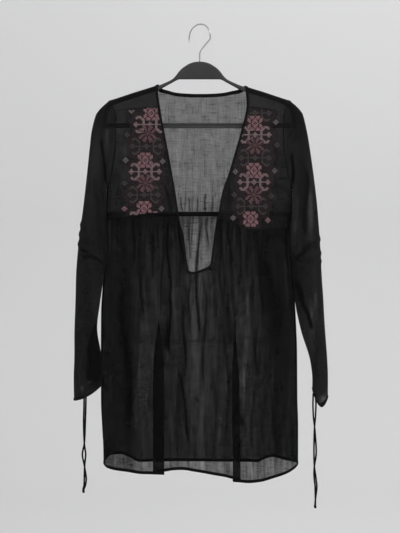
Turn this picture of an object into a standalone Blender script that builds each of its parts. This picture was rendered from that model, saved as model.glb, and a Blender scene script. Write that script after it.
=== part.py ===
"""Sheer tunic blouse on a plain hanger, as the solids of its cut pieces.

X runs across the blouse, Y from its front to its back and Z up. The origin is the
inner top of the hanger's hook. Left and right are as seen from the front.
Sizes are in millimetres and become metres where a mesh is made.
"""
import math

import bmesh
import bpy
import numpy as np

MM = 0.001

# Driving sizes of the cloth
WALL = 1.1                 # thickness of one layer of cloth
BINDING_WALL = 1.8         # thickness of folded bindings and of the back band
SEAM_GAP = 0.3             # clearance between sewn pieces
NECK_GAP = 0.7             # clearance along the curved neck binding
SIDE_GAP = 0.25            # each piece's distance from the middle plane at the side seams
BINDING_LIFT = 0.5         # how far the neck binding stands out from the panels
RIDGE_RADIUS = 5.8         # cloth bends round the hanger's arm at this radius
SHOULDER_TIP = -151.0      # height of the shoulder point
UNDERARM = -328.0          # height of the foot of the armhole
HEM = -880.0               # mean height of the hem
BAND_TOP = -372.8          # upper edge of the back band
BAND_HEIGHT = 9.2
CUFF_BINDING = 5.0         # width of the sleeve ends' binding
BODY_SHAPE = 2.6           # how square the body's section is, 2 being an ellipse
SLEEVE_SHAPE = 2.6
SLEEVE_GAP = 0.25          # sleeve's own share of the armhole's clearance
CUFF_GAP = 0.8             # between the slanted sleeve end and its binding
TIE_DIAMETER = 3.0

# Driving sizes of the hanger
HANGER_DEPTH = 8.6
HANGER_CORNER = 3.3
BAR_DEPTH = 7.0
BAR_TOP = -196.2
BAR_BOTTOM = -206.4
BAR_GROOVE = 1.6
BAR_LIP = 3.2
BAR_END_GAP = 0.5
WIRE_DIAMETER = 3.0
HOOK_RADIUS = 26.0
HOOK_TURN = 36.0           # degrees that the hook is swivelled about its shank
HOOK_START = -14.0         # angles at which the round bend starts and ends
HOOK_END = 196.0


# Tables: the first row names the columns

RIDGE = (
    ("across", "height"),
    (0, -112.5), (60, -113.5), (85, -120.5), (102, -126), (128, -134),
    (152, -142), (177, -150), (190, -153),
)

ARMHOLE = (
    ("height", "across", "openness"),
    (SHOULDER_TIP, 180.5, 1.0),
    (-163, 173.5, 1.0),
    (-178, 169.8, 1.0),
    (-212, 168.2, 0.95),
    (-250, 169.6, 0.88),
    (-285, 174.6, 0.68),
    (-310, 179.8, 0.42),
    (-322, 183.6, 0.18),
    (UNDERARM, 185.4, 0.0),
)

SIDE_SEAMS = (
    ("height", "left", "right"),
    (UNDERARM, 185.4, 185.4),
    (-345, 186.6, 185.6),
    (-380, 190.0, 184.8),
    (-437, 192.2, 182.6),
    (-505, 193.2, 187.6),
    (-576, 197.0, 191.8),
    (-650, 197.4, 194.8),
    (-750, 197.2, 195.6),
    (-800, 195.0, 197.0),
    (-850, 192.4, 197.0),
    (-900, 191.8, 196.6),
)

BODY_DEPTH = (
    ("height", "half_depth"),
    (-120, 6.5), (-200, 12), (-300, 16), (-380, 19), (-500, 25), (-650, 33),
    (-800, 41), (-910, 46),
)

# Front seams and hems: height of each edge against the distance across
FRONT_SEAM = (
    ("across", "height"),
    (-192, -387), (-158, -385.4), (-123, -382), (-89, -377.8), (-40, -378.6),
    (34, -386), (55, -390), (67, -394.6), (85, -404.8), (108, -410.8), (190, -409),
)
FRONT_HEM = (
    ("across", "height"),
    (-192, -877), (-184, -883), (-144, -889), (-112, -892), (-70, -892.5), (-58, -885),
    (-35, -883.5), (-10, -887), (32, -894), (57, -899), (72, -906), (96, -909.5),
    (121, -907.5), (143, -902), (175, -892), (190, -884), (197, -878),
)
BACK_HEM = (
    ("across", "height"),
    (-192, -876), (-178, -863), (-160, -863), (-142, -869), (-122, -879), (0, -879),
    (117, -880), (130, -874), (147, -868), (172, -874), (197, -877),
)

# The neck's edge, round from the foot of the opening: face -1 is the front,
# 0 the shoulder ridge and 1 the back
NECK_EDGE = (
    ("across", "height", "face", "binding"),
    (-1, -490.5, -1, 3.5),
    (-12, -493, -1, 3.5),
    (-19.5, -492, -1, 3.5),
    (-22.4, -487, -1, 3.5),
    (-25.2, -471, -1, 3.5),
    (-27.6, -452, -1, 3.5),
    (-31.6, -420, -1, 3.5),
    (-38.2, -396, -1, 3.5),
    (-42.6, -372, -1, 3.5),
    (-48.8, -330, -1, 3.5),
    (-61.2, -260.6, -1, 3.8),
    (-74.2, -193.2, -1, 4.2),
    (-81, -150, -1, 4.8),
    (-83, -132, -1, 5.4),
    (-82, 0, 0, 6.0),
    (-76, -126, 1, 6.3),
    (-62, -130.5, 1, 6.5),
    (-41, -135.2, 1, 6.5),
    (0, -137, 1, 6.5),
    (42, -135.4, 1, 6.5),
    (66, -131, 1, 6.5),
    (82, -126.6, 1, 6.3),
    (90, 0, 0, 6.0),
    (92.2, -138, -1, 5.4),
    (93.4, -164, -1, 4.8),
    (86, -200, -1, 4.2),
    (61.4, -286, -1, 3.8),
    (45.8, -332, -1, 3.5),
    (38.4, -372, -1, 3.5),
    (33.4, -392, -1, 3.5),
    (28.8, -420, -1, 3.5),
    (24, -460, -1, 3.5),
    (20.6, -478, -1, 3.5),
    (17, -482.6, -1, 3.5),
    (9, -486.4, -1, 3.5),
)

# Upper edge of the front yokes, where the back yoke wraps forward to
FORWARD_SEAM = (("across", "height"), (80, -164), (98, -164.5), (171, -171.7))

# Largest folds: a ridge where rise is above 0 and a trough where it is below
FRONT_FOLDS = (
    ("top_x", "top_z", "low_x", "low_z", "width", "rise"),
    (-131, -396, -129, -500, 7, 3.0),
    (-114, -470, -116, -590, 8, -3.0),
    (-93, -396, -97, -540, 8, 3.4),
    (-61, -388, -66, -650, 7, -4.6),
    (-49, -388, -50, -470, 6, 3.0),
    (-147, -520, -142, -900, 14, -6.5),
    (-113, -600, -112, -905, 14, 4.5),
    (-21, -520, -22, -640, 7, -3.2),
    (-33, -600, -32, -800, 9, 3.6),
    (10, -520, 10, -730, 9, -3.4),
    (28, -600, 30, -905, 14, 4.6),
    (60, -400, 62, -500, 7, -3.0),
    (48, -510, 50, -600, 7, 2.6),
    (93, -440, 93, -620, 8, -3.4),
    (132, -440, 146, -700, 14, -5.6),
    (112, -600, 110, -905, 16, 6.5),
    (168, -560, 168, -905, 13, 5.0),
    (-172, -560, -172, -905, 11, 4.0),
)
BACK_FOLDS = (
    ("top_x", "top_z", "low_x", "low_z", "width", "rise"),
    (-4, -384, -6, -640, 8, -4.4),
    (8, -384, 14, -560, 7, 3.4),
    (-27, -384, -29, -520, 7, -3.0),
    (28, -384, 29, -470, 7, -3.0),
    (-58, -384, -62, -620, 8, 3.6),
    (62, -384, 70, -600, 8, -3.6),
    (-98, -384, -102, -560, 9, -3.4),
    (104, -384, 108, -620, 9, 3.8),
    (-146, -384, -142, -660, 10, 3.6),
    (150, -384, 154, -560, 10, -3.4),
    (-168, -640, -168, -890, 13, 7.0),
    (-118, -620, -112, -890, 15, -5.5),
    (-50, -600, -48, -890, 16, 5.5),
    (24, -620, 30, -890, 16, -5.0),
    (96, -620, 92, -890, 16, 5.5),
    (146, -640, 146, -890, 12, -6.5),
)

# Pressed overlaps, where the front folds back under itself
FRONT_OVERLAPS = (
    ("centre_top", "centre_low", "top_z", "full_z", "width", "gap"),
    (-81, -81, -560, -650, 21.5, 6.4),
    (70, 74, -500, -570, 17.0, 5.6),
)

# Sleeve sections, from the armhole down
SLEEVE_LEFT = (
    ("outer_x", "outer_z", "inner_x", "inner_z", "centre_y", "half_depth", "droop"),
    (-180.8, -151, -185.8, -328, 0, 10, 0),
    (-197.6, -165.6, -187.2, -333, 0, 10.5, 0),
    (-208.6, -184.8, -188.6, -340, -1.5, 11, 0),
    (-215.4, -215, -190.6, -352, -4, 11.5, 0),
    (-219, -250, -191.6, -364, -8, 12, 0),
    (-224.6, -306, -189.6, -385, -13, 12.5, 0),
    (-230.6, -360, -186.4, -415, -17, 12.5, 0),
    (-239.6, -430, -185.6, -455, -18, 12.5, 0),
    (-245, -490, -190.6, -500, -18, 12, 0),
    (-246.6, -550, -197.4, -552, -18, 12, 0),
    (-248.6, -610, -203.6, -606, -18, 12, 0),
    (-248.6, -660, -198.2, -655, -19, 12, 0),
    (-249.8, -700, -196.2, -690, -20, 12.5, 4),
    (-249.4, -744, -198.4, -716, -20, 12.5, 8),
)
SLEEVE_RIGHT = (
    ("outer_x", "outer_z", "inner_x", "inner_z", "centre_y", "half_depth", "droop"),
    (180.8, -151, 185.8, -328, 0, 10, 0),
    (195.4, -163.4, 187.2, -333, 0, 10.5, 0),
    (207.2, -183, 188.6, -340, -1.5, 11, 0),
    (214.8, -218, 190.2, -352, -4, 11.5, 0),
    (220, -252, 190.6, -364, -8, 12, 0),
    (227.6, -308, 187.6, -385, -13, 12.5, 0),
    (233.6, -362, 184.4, -412, -17, 12.5, 0),
    (238.8, -430, 183.4, -446, -18, 12.5, 0),
    (242, -490, 187.4, -498, -18, 12, 0),
    (245.6, -550, 191.6, -553, -18, 12, 0),
    (249.4, -610, 202, -612, -18, 11.5, 0),
    (253.2, -660, 217.4, -660, -18, 11, 4),
    (255, -700, 223.4, -696, -18, 10.5, 14),
    (254.8, -738, 224, -722, -18, 10.5, 26),
)

# Cuff ties: the pair's middle line, half the distance between them, and their twist
TIES_LEFT = (
    ("x", "y", "z", "half_gap", "twist"),
    (-226.2, -35.8, -739, 1.9, 0),
    (-226.6, -35.6, -765, 1.8, 0),
    (-227.4, -34.6, -790, 1.8, 25),
    (-227.8, -33, -830, 1.8, 90),
    (-228.4, -32.4, -854, 3.3, 180),
    (-227.4, -32, -878, 1.8, 270),
    (-226.0, -32, -902, 2.0, 350),
    (-226.8, -32.2, -914, 1.8, 400),
    (-229.6, -32.4, -923.6, 1.8, 420),
)
TIES_RIGHT = (
    ("x", "y", "z", "half_gap", "twist"),
    (226.8, -29.6, -733.5, 1.9, 0),
    (227.2, -30.2, -756, 3.0, 0),
    (227.2, -30, -776, 2.4, 15),
    (227.6, -29.4, -802, 1.8, 90),
    (228.6, -29, -850, 2.3, 180),
    (227.2, -28.8, -880, 1.8, 270),
    (228.8, -28.8, -904, 1.8, 350),
    (230.4, -28.8, -920, 1.9, 380),
    (229.4, -28.8, -942, 1.8, 440),
    (228.8, -28.8, -954.6, 1.8, 460),
)

# Hanger sections from the middle to one end: outer and inner edge of each
HANGER_SECTIONS = (
    ("outer_x", "outer_z", "inner_x", "inner_z"),
    (0, -73.2, 0, -108.8),
    (12, -74.6, 11, -108.8),
    (22, -78.2, 20, -108.8),
    (34, -86, 29, -108.8),
    (42, -94, 36, -108.8),
    (48, -102, 43, -109.4),
    (57, -110, 53, -114.6),
    (77, -119.2, 73, -125.6),
    (85, -122.2, 81, -129.8),
    (102, -127.6, 99, -136),
    (128, -135.6, 125, -144),
    (152, -143.6, 149, -152),
    (168, -149.6, 165, -157.8),
    (177, -154.2, 172, -161.4),
    (184, -160, 177, -165.6),
    (189, -169, 180.6, -172.4),
    (191.8, -180, 182.8, -181.6),
    (193, -192, 184, -192.6),
    (193.2, -206.4, 184.2, -206.4),
)


def column(table, name):
    """One named column of a table."""
    place = table[0].index(name)
    return np.array([row[place] for row in table[1:]], float)


def curve(table, along, value):
    """Smooth function through two columns of a table, without overshoot."""
    at = column(table, along)
    height = column(table, value)
    order = np.argsort(at)
    return smooth_through(at[order], height[order])


def smooth_through(at, height):
    """Monotone cubic through the given values, held level beyond its ends."""
    step = np.diff(at)
    rise = np.diff(height) / step
    slope = np.zeros(len(at))
    slope[0] = rise[0]
    slope[-1] = rise[-1]
    for i in range(1, len(at) - 1):
        if rise[i - 1] * rise[i] > 0:
            slope[i] = 2 * rise[i - 1] * rise[i] / (rise[i - 1] + rise[i])

    def read(position):
        x = np.clip(position, at[0], at[-1])
        i = np.clip(np.searchsorted(at, x) - 1, 0, len(at) - 2)
        t = (x - at[i]) / step[i]
        start = (2 * t**3 - 3 * t**2 + 1) * height[i] + (t**3 - 2 * t**2 + t) * step[i] * slope[i]
        end = (3 * t**2 - 2 * t**3) * height[i + 1] + (t**3 - t**2) * step[i] * slope[i + 1]
        return start + end

    return read


def mix(a, b, share):
    """Value between a and b at the given share of the way."""
    return a + (b - a) * share


def ease(t):
    """Soft step from 0 to 1."""
    t = np.clip(t, 0.0, 1.0)
    return t * t * (3 - 2 * t)


# Form of the body: where its cloth lies in depth

ridge_across = curve(RIDGE, "across", "height")
armhole = curve(ARMHOLE, "height", "across")
armhole_openness = curve(ARMHOLE, "height", "openness")
side_left = curve(SIDE_SEAMS, "height", "left")
side_right = curve(SIDE_SEAMS, "height", "right")
body_depth = curve(BODY_DEPTH, "height", "half_depth")
front_seam = curve(FRONT_SEAM, "across", "height")
front_hem = curve(FRONT_HEM, "across", "height")
back_hem = curve(BACK_HEM, "across", "height")
forward_seam = curve(FORWARD_SEAM, "across", "height")

BELLY_DROP = 90.0          # the body fills out over this drop below the ridge
CALM_START = 0.86          # folds die out from this share of the half width
CALM_SPAN = 0.13
QUARTER_TURN = math.pi / 2 * RIDGE_RADIUS


def ridge(x):
    """Height of the shoulder ridge."""
    return ridge_across(np.abs(x))


def half_width(z, side):
    """Distance from the centre line to the armhole or the side seam."""
    seam = side_left(z) if side < 0 else side_right(z)
    return np.where(z > UNDERARM, armhole(z), seam)


def half_depth(x, z):
    """Distance in depth from the middle plane to the cloth, before folds."""
    drop = np.maximum(ridge(x) - z, 0.0)
    near = np.clip(drop / RIDGE_RADIUS, 0.0, 1.0)
    lift = RIDGE_RADIUS * np.sqrt(np.maximum(1 - (1 - near) ** 2, 0.0))
    belly = (body_depth(z) - RIDGE_RADIUS) * ease((drop - RIDGE_RADIUS) / BELLY_DROP)
    edge = np.where(x < 0, half_width(z, -1), half_width(z, 1))
    reach = np.clip(np.abs(x) / edge, 0.0, 1.0)
    opened = np.where(z > UNDERARM, armhole_openness(z), 0.0)
    power = mix(1 / BODY_SHAPE, 1.0, opened)
    closing = opened + (1 - opened) * (1 - reach**BODY_SHAPE) ** power
    return (lift + belly) * closing


FOLD_HEAD = 0.12           # share of a fold's length by which its head starts early
FOLD_HEAD_RATE = 5.0       # how quickly a fold deepens below its head
FOLD_TAIL = 1.08           # share of its length at which a fold has died out
FOLD_TAIL_RATE = 4.0


def fold_depth(table, x, z):
    """Sum of the tabled folds at a place on the front or the back."""
    total = np.zeros(np.broadcast(x, z).shape)
    for row in table[1:]:
        fold = dict(zip(table[0], row))
        length = fold["top_z"] - fold["low_z"]
        way = (fold["top_z"] - z) / length
        centre = mix(fold["top_x"], fold["low_x"], way)
        fade = ease((way + FOLD_HEAD) * FOLD_HEAD_RATE) * ease((FOLD_TAIL - way) * FOLD_TAIL_RATE)
        total = total + fold["rise"] * fade * np.exp(-(((x - centre) / fold["width"]) ** 2))
    return total


def settle(x, z):
    """Share of a fold that is left near the side seams."""
    edge = np.where(x < 0, half_width(z, -1), half_width(z, 1))
    return 1 - ease((np.abs(x) / edge - CALM_START) / CALM_SPAN)


GATHER_DRIFT = 0.16        # how unevenly gathers are spaced, in gathers
GATHER_UNEVEN = 0.25       # how much their heights differ
GATHER_PINCH = 0.4         # share of its height that a gather has at the seam
GATHER_OPENS = 12.0        # distance in which it reaches its full height
GATHER_FADES = 36.0        # distance in which it dies out


def gathers(share, count, below, height, seed):
    """Small uneven gathers that start at a seam and die out below it."""
    phase = 2 * math.pi * (count * share + GATHER_DRIFT * np.sin(9.1 * share + seed))
    uneven = 1 - GATHER_UNEVEN * (1 - np.sin(1.3 * count * share + seed))
    rise = mix(GATHER_PINCH, 1.0, ease(below / GATHER_OPENS))
    return height * uneven * rise * np.exp(-below / GATHER_FADES) * np.cos(phase)


def on_ridge(x, path, out=0.0):
    """Place on the yoke at a distance from the ridge, front below 0 and back above."""
    turn = np.clip(path / RIDGE_RADIUS, -math.pi / 2, math.pi / 2)
    radius = RIDGE_RADIUS + out
    beyond = np.maximum(np.abs(path) - QUARTER_TURN, 0.0)
    z = ridge(x) - RIDGE_RADIUS + radius * np.cos(turn) - beyond
    flat = half_depth(x, np.minimum(z, ridge(x) - RIDGE_RADIUS)) + out
    y = np.where(beyond > 0, np.sign(path) * flat, radius * np.sin(turn))
    return np.stack(np.broadcast_arrays(x, y, z), axis=-1)


def path_of(x, z, face):
    """Distance from the ridge of a place at height z on the front or the back."""
    return face * (QUARTER_TURN + ridge(x) - RIDGE_RADIUS - z)


# Stations that the yokes and the sleeves share along the armhole
WRAP_PATHS = (-1.0, -0.5, 0.0, 0.5, 1.0)   # over the ridge, in quarter turns
NECK_CORNER_DROP = 4.0                     # first row of the back, below the ridge's bend
ARMHOLE_LEVELS = (-160.8, -171.7, -192.0, -218.0, -250.0, -285.0, -310.0, UNDERARM)
NECK_SEAM_TOP = -164.5                     # forward seam at the neck
FRONT_SIDE_END = -386.0                    # about where the yoke seam meets the sides


def armhole_at_path(path):
    """Half width at the armhole, at a distance from the ridge."""
    over = np.minimum(path, QUARTER_TURN)
    fall = RIDGE_RADIUS * (1 - np.cos(over / RIDGE_RADIUS)) + np.maximum(path - QUARTER_TURN, 0)
    return armhole(SHOULDER_TIP - fall)


# Mesh making

def paint(name, colour, roughness, metallic=0.0):
    """Principled material of one colour."""
    material = bpy.data.materials.get(name) or bpy.data.materials.new(name)
    material.use_nodes = True
    shader = material.node_tree.nodes["Principled BSDF"]
    shader.inputs["Base Color"].default_value = (*colour, 1.0)
    shader.inputs["Roughness"].default_value = roughness
    shader.inputs["Metallic"].default_value = metallic
    return material


def cloth_paint():
    return paint("sheer_black_cotton", (0.012, 0.012, 0.013), 0.85)


def trim_paint():
    return paint("black_trim", (0.006, 0.006, 0.007), 0.8)


def plastic_paint():
    return paint("dark_grey_plastic", (0.052, 0.052, 0.053), 0.5)


def add_object(name, data, material):
    data.materials.append(material)
    piece = bpy.data.objects.new(name, data)
    bpy.context.scene.collection.objects.link(piece)
    return piece


def wall_from_grid(name, points, material, wall=WALL, ring=False):
    """Cloth wall on a grid of points; places without a point hold nan."""
    rows, count, _ = points.shape
    mesh_maker = bmesh.new()
    corner = {}
    for j in range(rows):
        for i in range(count):
            if not np.isnan(points[j, i, 0]):
                corner[j, i] = mesh_maker.verts.new(points[j, i] * MM)
    across = count if ring else count - 1
    for j in range(rows - 1):
        for i in range(across):
            k = (i + 1) % count
            around = ((j, i), (j, k), (j + 1, k), (j + 1, i))
            if all(key in corner for key in around):
                mesh_maker.faces.new([corner[key] for key in around])
    data = bpy.data.meshes.new(name)
    mesh_maker.to_mesh(data)
    mesh_maker.free()
    data.shade_smooth()
    piece = add_object(name, data, material)
    solid = piece.modifiers.new("thickness", "SOLIDIFY")
    solid.thickness = wall * MM
    solid.offset = 0.0
    return piece


def skin_rings(name, rings, material):
    """Closed solid through rings of points, with flat ends."""
    mesh_maker = bmesh.new()
    loops = [[mesh_maker.verts.new(point * MM) for point in ring] for ring in rings]
    count = len(loops[0])
    for near, far in zip(loops, loops[1:]):
        for i in range(count):
            k = (i + 1) % count
            mesh_maker.faces.new((near[i], near[k], far[k], far[i]))
    mesh_maker.faces.new(loops[0])
    mesh_maker.faces.new(loops[-1])
    bmesh.ops.recalc_face_normals(mesh_maker, faces=mesh_maker.faces)
    data = bpy.data.meshes.new(name)
    mesh_maker.to_mesh(data)
    mesh_maker.free()
    data.shade_smooth()
    data.set_sharp_from_angle(angle=math.radians(40))
    return add_object(name, data, material)


# Neck edge and binding

def neck_line():
    """Neck edge: distance across, distance from the ridge, binding width and table row."""
    x = column(NECK_EDGE, "across")
    z = column(NECK_EDGE, "height")
    face = column(NECK_EDGE, "face")
    path = np.where(face == 0, 0.0, path_of(x, z, face))
    points = np.stack([x, path, column(NECK_EDGE, "binding")], axis=1)
    count = len(points)
    out = []
    for i in range(count):
        a, b, c, d = (points[(i + k - 1) % count] for k in range(4))
        over_ridge = face[i] == 0 or face[(i + 1) % count] == 0
        steps = RIDGE_STEPS if over_ridge else NECK_STEPS
        for t in np.arange(steps) / steps:
            place = 0.5 * (2 * b + (c - a) * t + (2 * a - 5 * b + 4 * c - d) * t**2
                           + (3 * b - a - 3 * c + d) * t**3)
            out.append((*place, i + t))
    return np.array(out)


def moved_in(line, distance):
    """Neck line moved away from the opening by a distance at each row."""
    flat = line[:, :2]
    before = flat - np.roll(flat, 1, axis=0)
    after = np.roll(flat, -1, axis=0) - flat
    before = before / np.linalg.norm(before, axis=1)[:, None]
    after = after / np.linalg.norm(after, axis=1)[:, None]
    along = before + after
    along = along / np.linalg.norm(along, axis=1)[:, None]
    outward = np.stack([-along[:, 1], along[:, 0]], axis=1)
    square = np.maximum(np.sum(along * after, axis=1), MITRE_LEAST)
    return flat + outward * (distance / square)[:, None]


MITRE_LEAST = 0.75         # limit of the sharpening at a corner of a moved line
NECK_STEPS = 2             # neck stations for each row of its table
RIDGE_STEPS = 4            # the same where the neck crosses a shoulder ridge
NECK_GAP_SHARE = 0.1       # growth of the clearance with the binding's width
neck = neck_line()
widening = NECK_GAP_SHARE * (neck[:, 2] - neck[:, 2].min())
panel_edge = moved_in(neck, neck[:, 2] + NECK_GAP + widening)


def neck_station(row):
    """Number of the neck station at a row of the neck's table."""
    return int(np.searchsorted(neck[:, 3], row))


RIDGE_ROWS = [i for i, row in enumerate(NECK_EDGE[1:]) if row[2] == 0]
CORNER_LEFT = neck_station(3)                      # corners of the opening's foot
CORNER_RIGHT = neck_station(len(NECK_EDGE) - 3)


def edge_x(side, path):
    """Panel edge beside the neck, left or right, at a distance from the ridge."""
    if side < 0:
        part = panel_edge[CORNER_LEFT:neck_station(RIDGE_ROWS[0] + 1) + 1]
    else:
        part = panel_edge[neck_station(RIDGE_ROWS[1] - 1):CORNER_RIGHT + 1]
    order = np.argsort(part[:, 1])
    return np.interp(path, part[order, 1], part[order, 0])


def edge_x_at(side, z):
    """Panel edge beside the front opening at a height."""
    x = 60.0 * side
    for _ in range(6):
        x = edge_x(side, path_of(x, z, -1))
    return x


def neck_binding():
    inner = moved_in(neck, neck[:, 2])
    outer_points = on_ridge(neck[:, 0], neck[:, 1], BINDING_LIFT)
    inner_points = on_ridge(inner[:, 0], inner[:, 1], BINDING_LIFT)
    grid = np.stack([outer_points, inner_points])
    return wall_from_grid("neck_binding", grid, trim_paint(), BINDING_WALL, ring=True)


# Yokes

SIDE_SHARES = (0.0, 0.012, 0.045)          # yoke columns close to the armhole
FRONT_YOKE_COLUMNS = 11                    # the rest of a front yoke's columns
FRONT_YOKE_EVEN = 0.11                     # share where the even columns start


def front_yoke(side):
    """Front yoke of one side, from the forward shoulder seam to the yoke seam."""
    shares = np.array([*SIDE_SHARES, *np.linspace(FRONT_YOKE_EVEN, 1, FRONT_YOKE_COLUMNS)])
    outer_low = side * half_width(FRONT_SIDE_END, side)
    inner_low = edge_x_at(side, FRONT_SIDE_END)
    seam_end = front_seam(outer_low) + SEAM_GAP / 2
    levels = [*ARMHOLE_LEVELS[1:], mix(UNDERARM, seam_end, 0.5), seam_end]
    levels[0] -= SEAM_GAP / 2
    outer_top = side * armhole(levels[0])
    inner_top = edge_x_at(side, NECK_SEAM_TOP)
    points = np.zeros((len(levels), len(shares), 3))
    for i, across in enumerate(shares):
        start = forward_seam(abs(mix(outer_top, inner_top, across))) - SEAM_GAP / 2
        end = front_seam(mix(outer_low, inner_low, across)) + SEAM_GAP / 2
        for j, level in enumerate(levels):
            z = mix(start, end, (level - levels[0]) / (levels[-1] - levels[0]))
            outer = side * (half_width(z, side) - (SEAM_GAP / 2 if z > UNDERARM else 0))
            x = mix(outer, edge_x_at(side, z), across)
            points[j, i] = (x, -half_depth(x, z) - SIDE_GAP, z)
    name = "front_yoke_left" if side < 0 else "front_yoke_right"
    return wall_from_grid(name, points, cloth_paint())


OUTER_SPANS = 14           # back yoke columns from the armhole to the neck
INNER_SPANS = 24           # back yoke columns under the neck
BACK_YOKE_EVEN = 0.1       # share where the back yoke's even columns start
CORNER_SHARES = (0.0, 0.018, 0.05)     # columns close to the neck's corners
YOKE_LOW_SHARES = (0.5, 0.8, 1.0)      # rows from the underarm to the band
YOKE_GATHERS = 17
YOKE_GATHER_HEIGHT = 1.7
YOKE_GATHER_SEED = 1.0


def back_row_start(x):
    """Height of the back's first row on the shoulders."""
    return ridge(x) - RIDGE_RADIUS - NECK_CORNER_DROP


def back_neck_height(x):
    """Height of the panel's edge under the back neck."""
    part = panel_edge[neck_station(RIDGE_ROWS[0] + 1):neck_station(RIDGE_ROWS[1] - 1) + 1]
    path = np.interp(x, part[:, 0], part[:, 1])
    return ridge(x) - RIDGE_RADIUS - (path - QUARTER_TURN)


def back_yoke():
    """Back yoke, in one from the forward seams over the shoulders to the band."""
    low = BAND_TOP + SEAM_GAP / 2
    levels = list(ARMHOLE_LEVELS) + [mix(UNDERARM, low, share) for share in YOKE_LOW_SHARES]
    downs = [(level - levels[0]) / (low - levels[0]) for level in levels]
    wrap = 1 + len(WRAP_PATHS)
    near = SIDE_SHARES[1:]
    outer_shares = [0.0, *near, *np.linspace(BACK_YOKE_EVEN, 1, OUTER_SPANS - len(near))]
    even = np.linspace(BACK_YOKE_EVEN, 1 - BACK_YOKE_EVEN, INNER_SPANS + 1 - 2 * len(CORNER_SHARES))
    inner_shares = np.array([*CORNER_SHARES, *even, *(1 - share for share in reversed(CORNER_SHARES))])
    count = 2 * OUTER_SPANS + INNER_SPANS + 1
    points = np.full((wrap + len(levels), count, 3), np.nan)
    last = count - 1
    corner_path = QUARTER_TURN + NECK_CORNER_DROP
    corners = {side: edge_x(side, corner_path) for side in (-1, 1)}
    for i in range(count):
        side = -1 if i <= last / 2 else 1
        from_edge = min(i, last - i)
        on_shoulder = from_edge <= OUTER_SPANS
        if on_shoulder:
            across = outer_shares[from_edge]
            seam_x = mix(side * armhole(ARMHOLE_LEVELS[1]), edge_x_at(side, NECK_SEAM_TOP), across)
            seam_path = path_of(seam_x, forward_seam(abs(seam_x)) + SEAM_GAP / 2, -1)
            for j, path in enumerate([seam_path] + [turn * QUARTER_TURN for turn in WRAP_PATHS]):
                outer = side * (armhole_at_path(abs(path)) - SEAM_GAP / 2)
                x = mix(outer, edge_x(side, path), across)
                points[j, i] = on_ridge(x, path)
        for j, down in enumerate(downs):
            if on_shoulder:
                x = mix(side * armhole(levels[0]), corners[side], across)
                start = back_row_start(x)
            else:
                x = mix(corners[-1], corners[1], inner_shares[i - OUTER_SPANS])
                start = back_neck_height(x)
            z = mix(start, low, down)
            if on_shoulder:
                inset = SEAM_GAP / 2 if z > UNDERARM else 0
                x = mix(side * (half_width(z, side) - inset), corners[side], across)
            share = (x + half_width(z, -1)) / (half_width(z, -1) + half_width(z, 1))
            puff = gathers(share, YOKE_GATHERS, z - low, YOKE_GATHER_HEIGHT, YOKE_GATHER_SEED)
            puff = puff * settle(x, z)
            points[wrap + j, i] = (x, half_depth(x, z) + SIDE_GAP + puff, z)
    return wall_from_grid("back_yoke", points, cloth_paint())


# Skirts

EDGE_SHARES = (0.0, 0.008, 0.03, 0.07)    # column places close to a side seam
TOP_ROWS = (0.0, 0.12, 0.4, 1.0)
FRONT_LOW_ROWS = 8
BACK_ROWS = (0.0, 0.025, 0.065, 0.14, 0.26, 0.42, 0.6, 0.8, 1.0)
LEFT_GATHERS = 9
RIGHT_GATHERS = 10
BACK_GATHERS = 23
GATHER_HEIGHT = 2.0
FRONT_GATHER_SEED = 0.4
BACK_GATHER_SEED = 2.0
LEVEL = -600.0             # height at which the front's columns are set out
FOOT_LEFT = -486.0         # heights of the opening's foot, left and right
FOOT_RIGHT = -478.0
SEAM_LEVEL_INNER = -384.0  # about where the front seam meets the neck and the sides
SEAM_LEVEL_OUTER = -390.0
LEFT_DENSE = (-106.0, -56.0)   # closer columns where the pressed overlaps are
RIGHT_DENSE = (52.0, 92.0)
SIDE_SHARE = 0.9           # share of the half width where the side columns start
FOOT_MARGIN = 3.0          # part of the opening's sides counted with its foot
BACK_EVEN = 0.058          # share where the back's even columns start
BAND_COLUMNS = 30          # even columns of the band and of the back skirt
BACK_COLUMNS = 66
BAND_LIFT = BINDING_WALL / 5           # band's middle above the cloth's


def overlap_shift(x, z):
    """Sideways and inward shift that folds the front over itself."""
    across = np.zeros_like(x)
    depth = np.zeros_like(x)
    for row in FRONT_OVERLAPS[1:]:
        fold = dict(zip(FRONT_OVERLAPS[0], row))
        way = np.clip((fold["top_z"] - z) / (fold["top_z"] - HEM), 0, 1)
        centre = mix(fold["centre_top"], fold["centre_low"], way)
        strength = ease((fold["top_z"] - z) / (fold["top_z"] - fold["full_z"]))
        turn = np.clip((x - centre) / fold["width"], -1.0, 1.0)
        across = across - strength * fold["width"] * np.sin(math.pi * turn)
        depth = depth + strength * fold["gap"] * np.sin(math.pi * turn)
    return across, depth


def front_surface(x, z, share, count, below):
    """Front skirt at a place of the unfolded cloth."""
    calm = settle(x, z)
    rise = fold_depth(FRONT_FOLDS, x, z)
    rise = rise + gathers(share, count, below, GATHER_HEIGHT, FRONT_GATHER_SEED)
    y = -half_depth(x, z) - SIDE_GAP - rise * calm
    across, depth = overlap_shift(x, z)
    return np.stack(np.broadcast_arrays(x + across, y + depth, z), axis=-1)


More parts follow.
